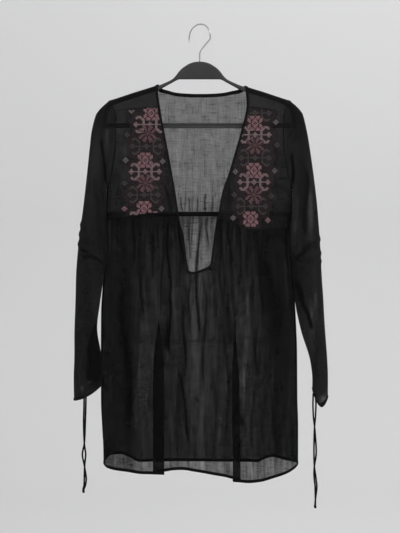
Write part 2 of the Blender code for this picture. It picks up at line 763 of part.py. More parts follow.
def front_columns():
    """Column places at the level height: left of the opening, under it and right of it."""
    left_edge = -half_width(LEVEL, -1)
    right_edge = half_width(LEVEL, 1)
    v_left = edge_x_at(-1, FOOT_LEFT)
    v_right = edge_x_at(1, FOOT_RIGHT)
    left = [left_edge * (1 - share) for share in EDGE_SHARES]
    left += list(np.linspace(left_edge * SIDE_SHARE, LEFT_DENSE[0], 13))
    left += list(np.linspace(*LEFT_DENSE, 15))[1:]
    left += list(np.linspace(LEFT_DENSE[1], v_left, 6))[1:]
    middle = list(np.linspace(v_left, v_right, 8))[1:-1]
    right = list(np.linspace(v_right, RIGHT_DENSE[0], 6))
    right += list(np.linspace(*RIGHT_DENSE, 13))[1:]
    right += list(np.linspace(RIGHT_DENSE[1], right_edge * SIDE_SHARE, 14))[1:]
    right += [right_edge * (1 - share) for share in reversed(EDGE_SHARES)]
    return np.array(left), np.array(middle), np.array(right)


def front_skirt():
    left, middle, right = front_columns()
    columns = np.concatenate([left, middle, right])
    v_first = len(left) - 1
    v_last = v_first + len(middle) + 1
    corner_left = panel_edge[CORNER_LEFT - 1]
    corner_right = panel_edge[CORNER_RIGHT + 1]
    foot = panel_edge[:, 0]
    rows = len(TOP_ROWS) + FRONT_LOW_ROWS
    points = np.full((rows, len(columns), 3), np.nan)

    def height_of(x, path):
        return ridge(x) - RIDGE_RADIUS + QUARTER_TURN - abs(path)

    foot_left = height_of(corner_left[0], corner_left[1])
    foot_right = height_of(corner_right[0], corner_right[1])
    near_foot = np.abs(panel_edge[:, 1]) > abs(panel_edge[CORNER_RIGHT, 1]) - FOOT_MARGIN
    order = np.argsort(foot[near_foot])
    foot_x = foot[near_foot][order]
    foot_z = height_of(foot_x, panel_edge[near_foot, 1][order])
    for i, level_x in enumerate(columns):
        side = -1 if i <= v_first else 1
        under = v_first < i < v_last
        count = LEFT_GATHERS if side < 0 else RIGHT_GATHERS
        inner_level = columns[v_first] if side < 0 else columns[v_last]
        edge_level = side * half_width(LEVEL, side)
        share = (level_x - inner_level) / (edge_level - inner_level)
        inner_seam = edge_x_at(side, SEAM_LEVEL_INNER)
        seam_x = mix(inner_seam, side * half_width(SEAM_LEVEL_OUTER, side), share)
        top = front_seam(seam_x) - SEAM_GAP / 2
        turn_z = foot_left if side < 0 else foot_right
        if under:
            turn_z = np.interp(level_x, foot_x, foot_z)
        hem_x = level_x * half_width(HEM, side) / half_width(LEVEL, side)
        bottom = front_hem(hem_x)
        for j in range(rows):
            if j < len(TOP_ROWS):
                if under and j < len(TOP_ROWS) - 1:
                    continue
                z = mix(top, turn_z, TOP_ROWS[j])
            else:
                z = mix(turn_z, bottom, (j - len(TOP_ROWS) + 1) / FRONT_LOW_ROWS)
            if under:
                x = level_x
            elif z > turn_z:
                x = mix(edge_x_at(side, z), side * half_width(z, side), share)
            else:
                x = mix(inner_level, side * half_width(z, side), share)
            points[j, i] = front_surface(np.array(x), np.array(z), abs(share), count, top - z)
    return wall_from_grid("front_skirt", points, cloth_paint())


def back_share_columns(count):
    """Column shares from one side seam to the other, closer at the seams."""
    near = [share / 2 for share in EDGE_SHARES]
    far = [1 - share for share in reversed(near)]
    return np.array(near + list(np.linspace(BACK_EVEN, 1 - BACK_EVEN, count)) + far)


def across_at(share, z):
    return mix(-half_width(z, -1), half_width(z, 1), share)


def back_band():
    """Flat band between the gathered back yoke and the back skirt."""
    shares = back_share_columns(BAND_COLUMNS)
    heights = (BAND_TOP - SEAM_GAP / 2, BAND_TOP - BAND_HEIGHT + SEAM_GAP / 2)
    points = np.zeros((2, len(shares), 3))
    for j, z in enumerate(heights):
        x = across_at(shares, z)
        y = half_depth(x, z) + SIDE_GAP + BAND_LIFT
        points[j] = np.stack([x, y, np.full_like(x, z)], axis=-1)
    return wall_from_grid("back_band", points, trim_paint(), BINDING_WALL)


def back_skirt():
    shares = back_share_columns(BACK_COLUMNS)
    top = BAND_TOP - BAND_HEIGHT - SEAM_GAP / 2
    points = np.zeros((len(BACK_ROWS), len(shares), 3))
    bottom = back_hem(across_at(shares, HEM))
    for j, down in enumerate(BACK_ROWS):
        z = mix(top, bottom, down)
        x = mix(-side_left(z), side_right(z), shares)
        rise = fold_depth(BACK_FOLDS, x, z)
        rise = rise + gathers(shares, BACK_GATHERS, top - z, GATHER_HEIGHT, BACK_GATHER_SEED)
        y = half_depth(x, z) + SIDE_GAP + rise * settle(x, z)
        points[j] = np.stack([x, y, z], axis=-1)
    return wall_from_grid("back_skirt", points, cloth_paint())


# Sleeves

TIP_TURNS = (0.5, 1.0)     # the armhole ring's stations over the ridge, in quarter turns
AROUND = 2 * (len(TIP_TURNS) + len(ARMHOLE_LEVELS))     # points round a sleeve
SLEEVE_STEPS = (0, 0.5, 1, 1.5, 2, 3, 4, 5, 6, 7, 8, 9, 10, 11, 12, 13)
CARRIED_STEPS = 1.6        # steps over which the armhole's shape turns into the sleeve's


def armhole_ring(side):
    """Sleeve's first ring, just outside the yokes' armhole edge."""
    half = []
    for turn in (0.0, *TIP_TURNS):
        path = turn * QUARTER_TURN
        x = side * (armhole_at_path(path) + SLEEVE_GAP)
        half.append(on_ridge(x, path))
    for z in ARMHOLE_LEVELS[:-1]:
        x = side * (armhole(z) + SLEEVE_GAP)
        half.append(np.array((x, half_depth(side * armhole(z), z) + SIDE_GAP, z)))
    foot = np.array((side * (armhole(UNDERARM) + SLEEVE_GAP), 0.0, UNDERARM))
    front = [point * np.array((1.0, -1.0, 1.0)) for point in half[1:]]
    return np.array([half[0], *front, foot, *reversed(half[1:])])


def sleeve_section(table, step, ahead=0.0):
    """Ring of the sleeve at a step of its table, moved down by a distance."""
    steps = np.arange(len(table) - 1.0)
    now = {name: smooth_through(steps, column(table, name))(step) for name in table[0]}
    outer = np.array((now["outer_x"], now["outer_z"]))
    inner = np.array((now["inner_x"], now["inner_z"]))
    across = (outer - inner) / 2
    middle = (outer + inner) / 2
    ring = []
    for i in range(AROUND):
        angle = 2 * math.pi * i / AROUND
        place = middle + across * math.cos(angle)
        bulge = (1 - abs(math.cos(angle)) ** SLEEVE_SHAPE) ** (1 / SLEEVE_SHAPE)
        face = -1 if angle < math.pi else 1
        y = now["centre_y"] + face * now["half_depth"] * bulge
        z = place[1] - now["droop"] * math.sin(angle) ** 2 - ahead
        ring.append((place[0], y, z))
    return np.array(ring)


def sleeve_rings(table, side):
    first = armhole_ring(side)
    start = sleeve_section(table, 0)
    rings = [first]
    for step in SLEEVE_STEPS[1:]:
        section = sleeve_section(table, step)
        carried = first + (section.mean(axis=0) - start.mean(axis=0))
        rings.append(mix(carried, section, ease(step / CARRIED_STEPS)))
    return rings


def sleeve_and_cuff(table, side, name):
    rings = sleeve_rings(table, side)
    last = len(table) - 2
    wall_from_grid("sleeve_" + name, np.array(rings), cloth_paint(), ring=True)
    cuff = [sleeve_section(table, last, ahead) for ahead in (CUFF_GAP, CUFF_BINDING)]
    wall_from_grid("cuff_" + name, np.array(cuff), trim_paint(), BINDING_WALL, ring=True)


# Ties and their knots

TIE_POINTS = 22
KNOT_SIZE = (2.9, 2.7, 3.6)   # half sizes of a knot


def tie_route(table, which):
    """Middle line of one of a pair of twisted ties."""
    steps = np.arange(len(table) - 1.0)
    at = np.linspace(0, len(table) - 2, TIE_POINTS)
    now = {name: smooth_through(steps, column(table, name))(at) for name in table[0]}
    angle = np.radians(now["twist"])
    x = now["x"] + which * now["half_gap"] * np.cos(angle)
    y = now["y"] + which * now["half_gap"] * np.sin(angle)
    return np.stack([x, y, now["z"]], axis=1)


def tie(table, which, name):
    data = bpy.data.curves.new(name, "CURVE")
    data.dimensions = "3D"
    data.bevel_depth = TIE_DIAMETER / 2 * MM
    data.bevel_resolution = 2
    data.use_fill_caps = True
    spline = data.splines.new("POLY")
    route = tie_route(table, which)
    spline.points.add(len(route) - 1)
    for point, place in zip(spline.points, route):
        point.co = (*(place * MM), 1.0)
    return add_object(name, data, trim_paint())


def knot(table, name):
    """Small knot below the ends of a pair of ties."""
    foot = [column(table, key)[-1] for key in ("x", "y", "z")]
    centre = np.array(foot) - np.array((0.0, 0.0, KNOT_SIZE[2] + SEAM_GAP))
    mesh_maker = bmesh.new()
    bmesh.ops.create_uvsphere(mesh_maker, u_segments=10, v_segments=6, radius=1.0)
    for vertex in mesh_maker.verts:
        lobed = 1 + 0.1 * math.cos(3 * math.atan2(vertex.co.y, vertex.co.x))
        size = np.array(KNOT_SIZE) * np.array((lobed, lobed, 1.0))
        vertex.co = (centre + size * np.array(vertex.co)) * MM
    data = bpy.data.meshes.new(name)
    mesh_maker.to_mesh(data)
    mesh_maker.free()
    data.shade_smooth()
    return add_object(name, data, trim_paint())


# Hanger

def rounded_section(outer, inner):
    """Ring of a rounded bar between an outer and an inner edge."""
    outer = np.array(outer)
    inner = np.array(inner)
    middle = (outer + inner) / 2
    reach = np.linalg.norm(outer - inner) / 2
    away = (outer - inner) / (2 * reach)
    radius = min(HANGER_CORNER, reach * 0.98)
    depth = HANGER_DEPTH / 2
    ring = []
    for quarter, (along, side) in enumerate(((1, 1), (-1, 1), (-1, -1), (1, -1))):
        for step in range(3):
            angle = math.radians(90 * quarter + 45 * step)
            height = along * (reach - radius) + radius * math.cos(angle)
            y = side * (depth - radius) + radius * math.sin(angle)
            place = middle + away * height
            ring.append((place[0], y, place[1]))
    return np.array(ring)


def hanger_body():
    rings = []
    rows = HANGER_SECTIONS[1:]
    for row in reversed(rows[1:]):
        rings.append(rounded_section((-row[0], row[1]), (-row[2], row[3])))
    for row in rows:
        rings.append(rounded_section((row[0], row[1]), (row[2], row[3])))
    return skin_rings("hanger_body", rings, plastic_paint())


def hanger_bar():
    """Grooved trouser bar between the hanger's ends."""
    half = BAR_DEPTH / 2
    waist = half - BAR_GROOVE
    upper = BAR_TOP - BAR_LIP
    lower = BAR_BOTTOM + BAR_LIP
    outline = (
        (-half, BAR_TOP), (half, BAR_TOP), (half, upper), (waist, upper - 1),
        (waist, lower + 1), (half, lower), (half, BAR_BOTTOM), (-half, BAR_BOTTOM),
        (-half, lower), (-waist, lower + 1), (-waist, upper - 1), (-half, upper),
    )
    rings = []
    reach = HANGER_SECTIONS[-1][2] - BAR_END_GAP
    for x in (-reach, reach):
        rings.append(np.array([(x, y, z) for y, z in outline]))
    return skin_rings("hanger_bar", rings, plastic_paint())


# Wire above the plate, before the hook is swivelled
HOOK_NECK = (
    ("across", "height"),
    (0.0, -62.0), (0.4, -57.0), (2.6, -52.4), (6.6, -47.6), (14.2, -40.6),
)
HOOK_POINTS = 18           # points round the bend


def hanger_hook():
    """Wire hook: shank, slanted neck and round bend, swivelled about the shank."""
    centre = -HOOK_RADIUS + WIRE_DIAMETER / 2
    foot = HANGER_SECTIONS[1][1] + SEAM_GAP
    shank = [(0.0, foot), *HOOK_NECK[1:]]
    bend = []
    for angle in np.radians(np.linspace(HOOK_START, HOOK_END, HOOK_POINTS)):
        bend.append((HOOK_RADIUS * math.cos(angle), centre + HOOK_RADIUS * math.sin(angle)))
    line = shank + bend
    turn = math.radians(HOOK_TURN)
    path = np.array([(x * math.cos(turn), -x * math.sin(turn), z) for x, z in line])
    data = bpy.data.curves.new("hanger_hook", "CURVE")
    data.dimensions = "3D"
    data.bevel_depth = WIRE_DIAMETER / 2 * MM
    data.bevel_resolution = 2
    data.use_fill_caps = True
    spline = data.splines.new("POLY")
    spline.points.add(len(path) - 1)
    for point, place in zip(spline.points, path):
        point.co = (*(place * MM), 1.0)
    return add_object("hanger_hook", data, paint("chrome_wire", (0.6, 0.6, 0.61), 0.2, 1.0))


def clear_scene():
    for piece in list(bpy.data.objects):
        bpy.data.objects.remove(piece, do_unlink=True)


def main():
    clear_scene()
    hanger_body()
    hanger_bar()
    hanger_hook()
    for side in (-1, 1):
        front_yoke(side)
    back_yoke()
    front_skirt()
    back_band()
    back_skirt()
    neck_binding()
    sleeve_and_cuff(SLEEVE_LEFT, -1, "left")
    sleeve_and_cuff(SLEEVE_RIGHT, 1, "right")
    for table, name in ((TIES_LEFT, "left"), (TIES_RIGHT, "right")):
        tie(table, -1, "tie_" + name + "_a")
        tie(table, 1, "tie_" + name + "_b")
        knot(table, "knot_" + name)


main()
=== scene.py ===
"""Looks of a sheer tunic blouse on its hanger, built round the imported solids.

X runs across the blouse, Y from its front to its back and Z up, with the origin at the
inner top of the hanger's hook. Left and right are as seen from the front.
Sizes are in millimetres and become metres where a mesh is made.
"""

import math

import bpy
import numpy as np
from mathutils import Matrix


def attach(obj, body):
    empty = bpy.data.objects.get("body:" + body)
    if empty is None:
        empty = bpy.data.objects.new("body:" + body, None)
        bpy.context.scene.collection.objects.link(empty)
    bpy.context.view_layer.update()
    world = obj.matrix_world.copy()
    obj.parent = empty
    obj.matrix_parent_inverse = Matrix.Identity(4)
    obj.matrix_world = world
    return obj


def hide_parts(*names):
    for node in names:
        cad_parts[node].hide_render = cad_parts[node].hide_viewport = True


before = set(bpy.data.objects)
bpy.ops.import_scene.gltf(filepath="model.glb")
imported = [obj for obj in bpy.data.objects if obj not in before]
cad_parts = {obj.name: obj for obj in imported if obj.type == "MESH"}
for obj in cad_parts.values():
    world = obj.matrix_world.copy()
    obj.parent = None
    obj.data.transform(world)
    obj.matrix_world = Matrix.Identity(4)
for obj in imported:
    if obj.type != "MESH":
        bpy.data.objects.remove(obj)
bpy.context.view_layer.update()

MM = 0.001
BODY = "root"

# Camera: the photograph's view, level and square to the blouse
CAMERA_PLACE = (0.8, -2800.0, -483.0)
FRAME_HEIGHT = 1066.0      # what the long side of the frame takes in at the blouse
SENSOR = 36.0

# Driving sizes of the cloth, as in the solids
TUCK = 1.1                 # part of a panel's edge inside its binding
SIDE_GAP = 0.25
BINDING_LIFT = 0.5
RIDGE_RADIUS = 5.8
QUARTER_TURN = math.pi / 2 * RIDGE_RADIUS
SHOULDER_TIP = -151.0
UNDERARM = -328.0
HEM = -880.0
BAND_TOP = -372.8
BAND_HEIGHT = 9.2
CUFF_BINDING = 5.0
BODY_SHAPE = 2.6
SLEEVE_SHAPE = 2.6
SLEEVE_GAP = 0.25
CUFF_GAP = 0.8
TIE_DIAMETER = 3.5
BELLY_DROP = 90.0
CALM_START = 0.86          # folds die out from this share of the half width
CALM_SPAN = 0.13
SEAM_WIDTH = 3.6           # folded seam allowance inside
NARROW_SEAM = 1.3          # at the armholes and the forward shoulder seams
HEM_WIDTH = 6.2            # narrow rolled hem
SEAM_DEPTH = 0.9           # how far inside the cloth the yokes' seams lie
FOLDED_HALF = 0.55         # half thickness of folded cloth in seams and hems
BINDING_HALF = 0.9         # half thickness of bindings and of the back band

# Driving sizes of the hanger, as in the solids
HANGER_DEPTH = 8.6
HANGER_CORNER = 3.3
BAR_DEPTH = 7.0
BAR_TOP = -196.2
BAR_BOTTOM = -206.4
BAR_GROOVE = 1.6
BAR_LIP = 3.2
BAR_END_GAP = 0.5
BAR_SOFT = 0.7             # its edges
WIRE_DIAMETER = 3.0
HOOK_RADIUS = 26.0
HOOK_TURN = 36.0
HOOK_START = -14.0
HOOK_END = 196.0


# Tables: the first row names the columns. These first ones repeat the solids'

RIDGE = (
    ("across", "height"),
    (0, -112.5), (60, -113.5), (85, -120.5), (102, -126), (128, -134), (152, -142), (177, -150),
    (190, -153),
)
ARMHOLE = (
    ("height", "across", "openness"),
    (SHOULDER_TIP, 180.5, 1.0), (-163, 173.5, 1.0), (-178, 169.8, 1.0), (-212, 168.2, 0.95),
    (-250, 169.6, 0.88), (-285, 174.6, 0.68), (-310, 179.8, 0.42), (-322, 183.6, 0.18),
    (UNDERARM, 185.4, 0.0),
)
SIDE_SEAMS = (
    ("height", "left", "right"),
    (UNDERARM, 185.4, 185.4), (-345, 186.6, 185.6), (-380, 190.0, 184.8), (-437, 192.2, 182.6),
    (-505, 193.2, 187.6), (-576, 197.0, 191.8), (-650, 197.4, 194.8), (-750, 197.2, 195.6),
    (-800, 195.0, 197.0), (-850, 192.4, 197.0), (-900, 191.8, 196.6),
)
BODY_DEPTH = (
    ("height", "half_depth"),
    (-120, 6.5), (-200, 12), (-300, 16), (-380, 19), (-500, 25), (-650, 33), (-800, 41),
    (-910, 46),
)
FRONT_SEAM = (
    ("across", "height"),
    (-192, -387), (-158, -385.4), (-123, -382), (-89, -377.8), (-40, -378.6), (34, -386),
    (55, -390), (67, -394.6), (85, -404.8), (108, -410.8), (190, -409),
)
FRONT_HEM = (
    ("across", "height"),
    (-192, -877), (-184, -883), (-144, -889), (-112, -892), (-70, -892.5), (-58, -885),
    (-35, -883.5), (-10, -887), (32, -894), (57, -899), (72, -906), (96, -909.5), (121, -907.5),
    (143, -902), (175, -892), (190, -884), (197, -878),
)
BACK_HEM = (
    ("across", "height"),
    (-192, -876), (-178, -863), (-160, -863), (-142, -869), (-122, -879), (0, -879), (117, -880),
    (130, -874), (147, -868), (172, -874), (197, -877),
)
NECK_EDGE = (
    ("across", "height", "face", "binding"),
    (-1, -490.5, -1, 5.6), (-12, -493, -1, 5.8), (-19.5, -492, -1, 5.4), (-22.4, -487, -1, 4.6),
    (-25.2, -471, -1, 4.1), (-27.6, -452, -1, 4.0), (-31.6, -420, -1, 4.0), (-38.2, -396, -1, 4.0),
    (-42.6, -372, -1, 4.0), (-48.8, -330, -1, 4.0), (-61.2, -260.6, -1, 4.2),
    (-74.2, -193.2, -1, 4.5), (-81, -150, -1, 5.0), (-83, -132, -1, 5.6), (-82, 0, 0, 6.2),
    (-76, -126, 1, 6.8), (-62, -130.5, 1, 7.0), (-41, -135.2, 1, 7.2), (0, -137, 1, 7.2),
    (42, -135.4, 1, 7.2), (66, -131, 1, 7.0), (82, -126.6, 1, 6.8), (90, 0, 0, 6.2),
    (92.2, -138, -1, 5.6), (93.4, -164, -1, 5.0), (86, -200, -1, 4.5), (61.4, -286, -1, 4.2),
    (45.8, -332, -1, 4.0), (38.4, -372, -1, 4.0), (33.4, -392, -1, 4.0), (28.8, -420, -1, 4.0),
    (24, -460, -1, 4.2), (20.6, -478, -1, 4.8), (17, -482.6, -1, 5.4), (9, -486.4, -1, 5.6),
)
FORWARD_SEAM = (
    ("across", "height"),
    (80, -164), (98, -164.5), (171, -171.7),
)
FRONT_FOLDS = (
    ("top_x", "top_z", "low_x", "low_z", "width", "rise"),
    (-131, -396, -129, -500, 7, 3.0), (-114, -470, -116, -590, 8, -3.0),
    (-93, -396, -97, -540, 8, 3.4), (-61, -388, -66, -650, 7, -4.6),
    (-49, -388, -50, -470, 6, 3.0), (-147, -520, -142, -900, 14, -6.5),
    (-113, -600, -112, -905, 14, 4.5), (-21, -520, -22, -640, 7, -3.2),
    (-33, -600, -32, -800, 9, 3.6), (10, -520, 10, -730, 9, -3.4), (28, -600, 30, -905, 14, 4.6),
    (60, -400, 62, -500, 7, -3.0), (48, -510, 50, -600, 7, 2.6), (93, -440, 93, -620, 8, -3.4),
    (132, -440, 146, -700, 14, -5.6), (112, -600, 110, -905, 16, 6.5),
    (168, -560, 168, -905, 13, 5.0), (-172, -560, -172, -905, 11, 4.0),
)
BACK_FOLDS = (
    ("top_x", "top_z", "low_x", "low_z", "width", "rise"),
    (-4, -384, -6, -640, 8, -4.4), (8, -384, 14, -560, 7, 3.4), (-27, -384, -29, -520, 7, -3.0),
    (28, -384, 29, -470, 7, -3.0), (-58, -384, -62, -620, 8, 3.6), (62, -384, 70, -600, 8, -3.6),
    (-98, -384, -102, -560, 9, -3.4), (104, -384, 108, -620, 9, 3.8),
    (-146, -384, -142, -660, 10, 3.6), (150, -384, 154, -560, 10, -3.4),
    (-168, -640, -168, -890, 13, 7.0), (-118, -620, -112, -890, 15, -5.5),
    (-50, -600, -48, -890, 16, 5.5), (24, -620, 30, -890, 16, -5.0), (96, -620, 92, -890, 16, 5.5),
    (146, -640, 146, -890, 12, -6.5),
)
FRONT_OVERLAPS = (
    ("centre_top", "centre_low", "top_z", "full_z", "width", "gap"),
    (-81, -81, -500, -700, 20.5, 6.4), (68, 73, -480, -740, 13.5, 5.4),
)
SLEEVE_LEFT = (
    ("outer_x", "outer_z", "inner_x", "inner_z", "centre_y", "half_depth", "droop"),
    (-180.8, -151, -185.8, -328, 0, 10, 0), (-197.6, -165.6, -186.2, -333, -1, 10.5, 0),
    (-208.6, -184.8, -186.0, -338, -5, 11, 0), (-215.4, -215, -185.6, -350, -10, 11, 0),
    (-219, -250, -186.6, -364, -13.5, 11.5, 0), (-224.6, -306, -185.4, -385, -16.5, 12, 0),
    (-230.6, -360, -184.6, -415, -18, 12.5, 0), (-239.6, -430, -184.8, -455, -18, 12.5, 0),
    (-245, -490, -189.8, -500, -18, 12, 0), (-246.6, -550, -197.4, -552, -18, 12, 0),
    (-248.6, -610, -203.4, -606, -19, 12, 0), (-248.6, -660, -195.6, -655, -21, 12, 0),
    (-249.8, -700, -192.6, -690, -22, 12, 4), (-249.4, -744, -194.6, -715, -22, 12, 6),
)
SLEEVE_RIGHT = (
    ("outer_x", "outer_z", "inner_x", "inner_z", "centre_y", "half_depth", "droop"),
    (180.8, -151, 185.8, -328, 0, 10, 0), (195.4, -163.4, 186.0, -333, -1, 10.5, 0),
    (207.2, -183, 185.6, -338, -5, 11, 0), (214.8, -218, 184.6, -350, -10, 11, 0),
    (220, -252, 184.0, -364, -13.5, 11.5, 0), (227.6, -308, 181.4, -385, -16.5, 12, 0),
    (233.6, -362, 179.4, -412, -18.5, 12.5, 0), (238.8, -430, 179.2, -446, -19, 12.5, 0),
    (242, -490, 184.2, -498, -19, 12, 0), (245.6, -550, 189.4, -553, -19, 12, 0),
    (249.4, -610, 202, -612, -18, 11.5, 0), (253.2, -660, 217.4, -660, -18, 11, 4),
    (255, -700, 223.4, -696, -18, 10.5, 14), (254.8, -738, 224, -722, -18, 10.5, 26),
)
TIES_LEFT = (
    ("x", "y", "z", "half_gap", "twist"),
    (-226.2, -35.8, -739, 1.9, 0), (-226.6, -35.6, -765, 1.8, 0), (-227.4, -34.6, -790, 1.8, 25),
    (-227.8, -33, -830, 1.8, 90), (-228.4, -32.4, -854, 3.3, 180), (-227.4, -32, -878, 1.8, 270),
    (-226.0, -32, -902, 2.0, 350), (-226.8, -32.2, -914, 1.8, 400),
    (-229.6, -32.4, -923.6, 1.8, 420),
)
TIES_RIGHT = (
    ("x", "y", "z", "half_gap", "twist"),
    (226.8, -29.6, -733.5, 1.9, 0), (227.2, -30.2, -756, 3.0, 0), (227.2, -30, -776, 2.4, 15),
    (227.6, -29.4, -802, 1.8, 90), (228.6, -29, -850, 2.3, 180), (227.2, -28.8, -880, 1.8, 270),
    (228.8, -28.8, -904, 1.8, 350), (230.4, -28.8, -920, 1.9, 380), (229.4, -28.8, -942, 1.8, 440),
    (228.8, -28.8, -954.6, 1.8, 460),
)
HANGER_SECTIONS = (
    ("outer_x", "outer_z", "inner_x", "inner_z"),
    (0, -73.2, 0, -108.8), (12, -74.6, 11, -108.8), (22, -78.2, 20, -108.8), (34, -86, 29, -108.8),
    (42, -94, 36, -108.8), (48, -102, 43, -109.4), (57, -110, 53, -114.6),
    (77, -119.2, 73, -125.6), (85, -122.2, 81, -129.8), (102, -127.6, 99, -136),
    (128, -135.6, 125, -144), (152, -143.6, 149, -152), (168, -149.6, 165, -157.8),
    (177, -154.2, 172, -161.4), (184, -160, 177, -165.6), (189, -169, 180.6, -172.4),
    (191.8, -180, 182.8, -181.6), (193, -192, 184, -192.6), (193.2, -206.4, 184.2, -206.4),
)

# Creases that only the looks have: a soft ridge where rise is above 0, a trough where
# it is below, and how many more layers of cloth lie in it
FRONT_CREASES = (
    ("from_x", "from_z", "to_x", "to_z", "width", "rise", "layers"),
    (-131, -392, -131, -474, 2.6, -1.4, 0.8), (-115, -476, -115, -556, 2.6, -1.4, 0.8),
    (-98, -404, -91, -504, 2.8, -1.5, 0.9), (-82, -392, -84, -448, 2.2, -1.0, 0.5),
    (-63, -390, -59.5, -540, 2.2, -1.6, 1.9), (-59.5, -540, -59, -650, 2.2, -1.6, 1.9),
    (-50, -388, -47, -440, 2.2, -1.1, 0.8), (-55, -450, -53, -520, 2.6, 1.0, -0.2),
    (-150, -510, -143, -800, 6.5, -1.5, 0.9), (-44, -392, -31, -478, 1.8, -0.8, 1.6),
    (-20, -498, -20, -604, 2.6, -1.4, 0.8), (-31, -560, -30, -690, 2.6, -1.4, 1.3),
    (10, -520, 10, -716, 3.0, -1.5, 0.9), (-41, -690, -19, -830, 3.0, -1.4, 1.4),
    (57, -404, 63, -480, 2.6, -1.5, 1.0), (48, -500, 48, -576, 2.4, -1.2, 0.7),
    (93, -440, 92, -508, 2.6, -1.4, 0.8), (121, -446, 160, -612, 9.5, -2.6, 0.55),
    (105, -502, 105, -556, 2.4, -1.2, 0.7), (112, -600, 112, -700, 2.6, -1.2, 0.6),
    (57, -540, 56, -640, 3.0, -1.2, 0.9), (80, -740, 86, -798, 2.4, -1.0, 1.0),
    (91, -500, 91, -800, 3.0, 1.2, -0.25), (100, -470, 101, -690, 2.4, 1.0, -0.2),
    (109, -520, 110, -640, 2.2, 0.9, -0.2), (-55, -633, 40, -631, 1.6, 0.7, 0.3),
    (150, -700, 150, -860, 4.5, -1.5, 0.6), (28, -700, 33, -880, 3.5, -1.2, 0.4),
    (-122, -640, -120, -800, 3.5, 1.0, -0.1), (52, -660, 50, -830, 3.2, 1.0, -0.1),
)
BACK_CREASES = (
    ("from_x", "from_z", "to_x", "to_z", "width", "rise", "layers"),
    (-1, -384, -3, -640, 2.4, -1.3, 1.3), (-19, -384, -21, -470, 1.8, -0.9, 0.8),
    (13, -384, 17, -450, 1.8, -0.9, 0.7), (-10, -384, -12, -430, 1.6, 0.8, -0.1),
    (-38, -384, -40, -500, 2.0, -1.0, 0.6), (40, -384, 42, -520, 2.2, -1.0, 0.7),
    (-72, -384, -76, -560, 2.4, -1.2, 0.7), (78, -384, 84, -540, 2.4, -1.2, 0.7),
    (-120, -384, -118, -600, 2.6, -1.3, 0.7), (124, -384, 128, -580, 2.6, -1.3, 0.7),
    (-96, -560, -90, -800, 3.4, 1.2, -0.1), (52, -600, 56, -840, 3.6, -1.4, 0.5),
    (110, -640, 108, -850, 3.4, -1.4, 0.5), (-24, -620, -20, -820, 3.2, 1.2, 0),
    (-150, -560, -150, -800, 3.6, -1.4, 0.5), (-70, -633, 60, -630, 1.6, 0.6, 0.3),
)
FRONT_FULLNESS = 1.2       # layers' worth of cloth in each panel as it hangs
BACK_FULLNESS = 1.4
YOKE_FULLNESS = 1.8
SLEEVE_FULLNESS = 1.35
FRONT_PATCHES = (
    ("x", "z", "reach_x", "reach_z", "layers"),
    (-5, -640, 17, 260, -0.42), (92, -680, 16, 230, -0.25), (-108, -700, 19, 230, -0.22),
    (-50, -545, 12, 100, -0.3), (34, -660, 13, 240, -0.12), (-172, -740, 26, 260, 0.4),
    (-148, -560, 13, 120, 0.5), (-142, -700, 12, 110, 0.6), (-138, -850, 11, 90, 0.4),
    (170, -700, 36, 260, 0.28), (126, -480, 12, 50, 0.5), (138, -535, 14, 50, 0.7),
    (154, -600, 14, 60, 0.6), (-72, -760, 9, 160, 0.3), (-40, -740, 9, 90, 0.35),
    (-120, -430, 50, 50, 0.2), (130, -420, 50, 40, 0.25), (40, -400, 9, 80, 0.5),
    (-37, -430, 6, 60, 0.7), (190, -860, 22, 40, -0.2), (160, -885, 30, 22, -0.25),
    (-81, -740, 16, 230, -0.62), (72, -760, 11, 200, -0.4), (20, -760, 42, 170, -0.2),
    (-45, -770, 16, 160, -0.15),
)
BACK_PATCHES = (
    ("x", "z", "reach_x", "reach_z", "layers"),
    (-1, -500, 30, 240, -0.42), (-110, -720, 26, 200, -0.1), (92, -720, 22, 200, -0.15),
    (-165, -600, 30, 300, 0.15), (165, -640, 34, 300, 0.15), (-190, -880, 8, 50, 1.6),
    (188, -880, 5, 50, 0.8),
)
YOKE_PATCHES = (
    ("x", "z", "reach_x", "reach_z", "layers"),
    (-158, -190, 10, 60, -0.5), (-150, -260, 9, 50, -0.35), (158, -200, 10, 60, -0.3),
    (58, -350, 12, 40, 0.3), (-50, -340, 8, 30, 0.4),
)
SLEEVE_PATCHES = (
    ("x", "z", "reach_x", "reach_z", "layers"),
    (-186, -205, 7, 45, -0.45), (-205, -240, 12, 70, -0.15), (-212, -430, 30, 60, 0.15),
    (-206, -655, 11, 45, 2.8), (-206, -690, 13, 26, 2.6), (-233, -724, 3, 6, -0.5),
    (-198, -440, 9, 90, 0.4), (218, -370, 7, 60, -0.4), (224, -590, 7, 50, -0.45),
    (206, -470, 12, 60, 0.35), (204, -330, 7, 90, 0.35), (240, -680, 14, 60, 0.1),
    (-196, -190, 20, 40, 0.5), (196, -190, 20, 40, 0.5), (246, -746, 7, 8, -0.8),
    (187, -486, 7, 34, 1.2), (198, -530, 9, 34, 0.9), (-232, -560, 20, 150, 0.3),
    (-193, -330, 6, 80, 0.4),
)
YOKE_CREASES = (
    ("from_x", "from_z", "to_x", "to_z", "width", "rise", "layers"),
    (-68, -318, -56, -376, 2.6, -1.2, 1.0), (-74, -300, -62, -350, 2.2, 0.8, -0.2),
    (-160, -206, -163, -300, 3.0, 1.2, -0.1), (-152, -215, -154, -290, 2.6, -1.0, 0.3),
    (63, -300, 54, -372, 2.4, -1.0, 0.6), (158, -214, 160, -320, 3.2, 1.2, -0.1),
    (150, -240, 151, -330, 2.8, -1.0, 0.3),
)
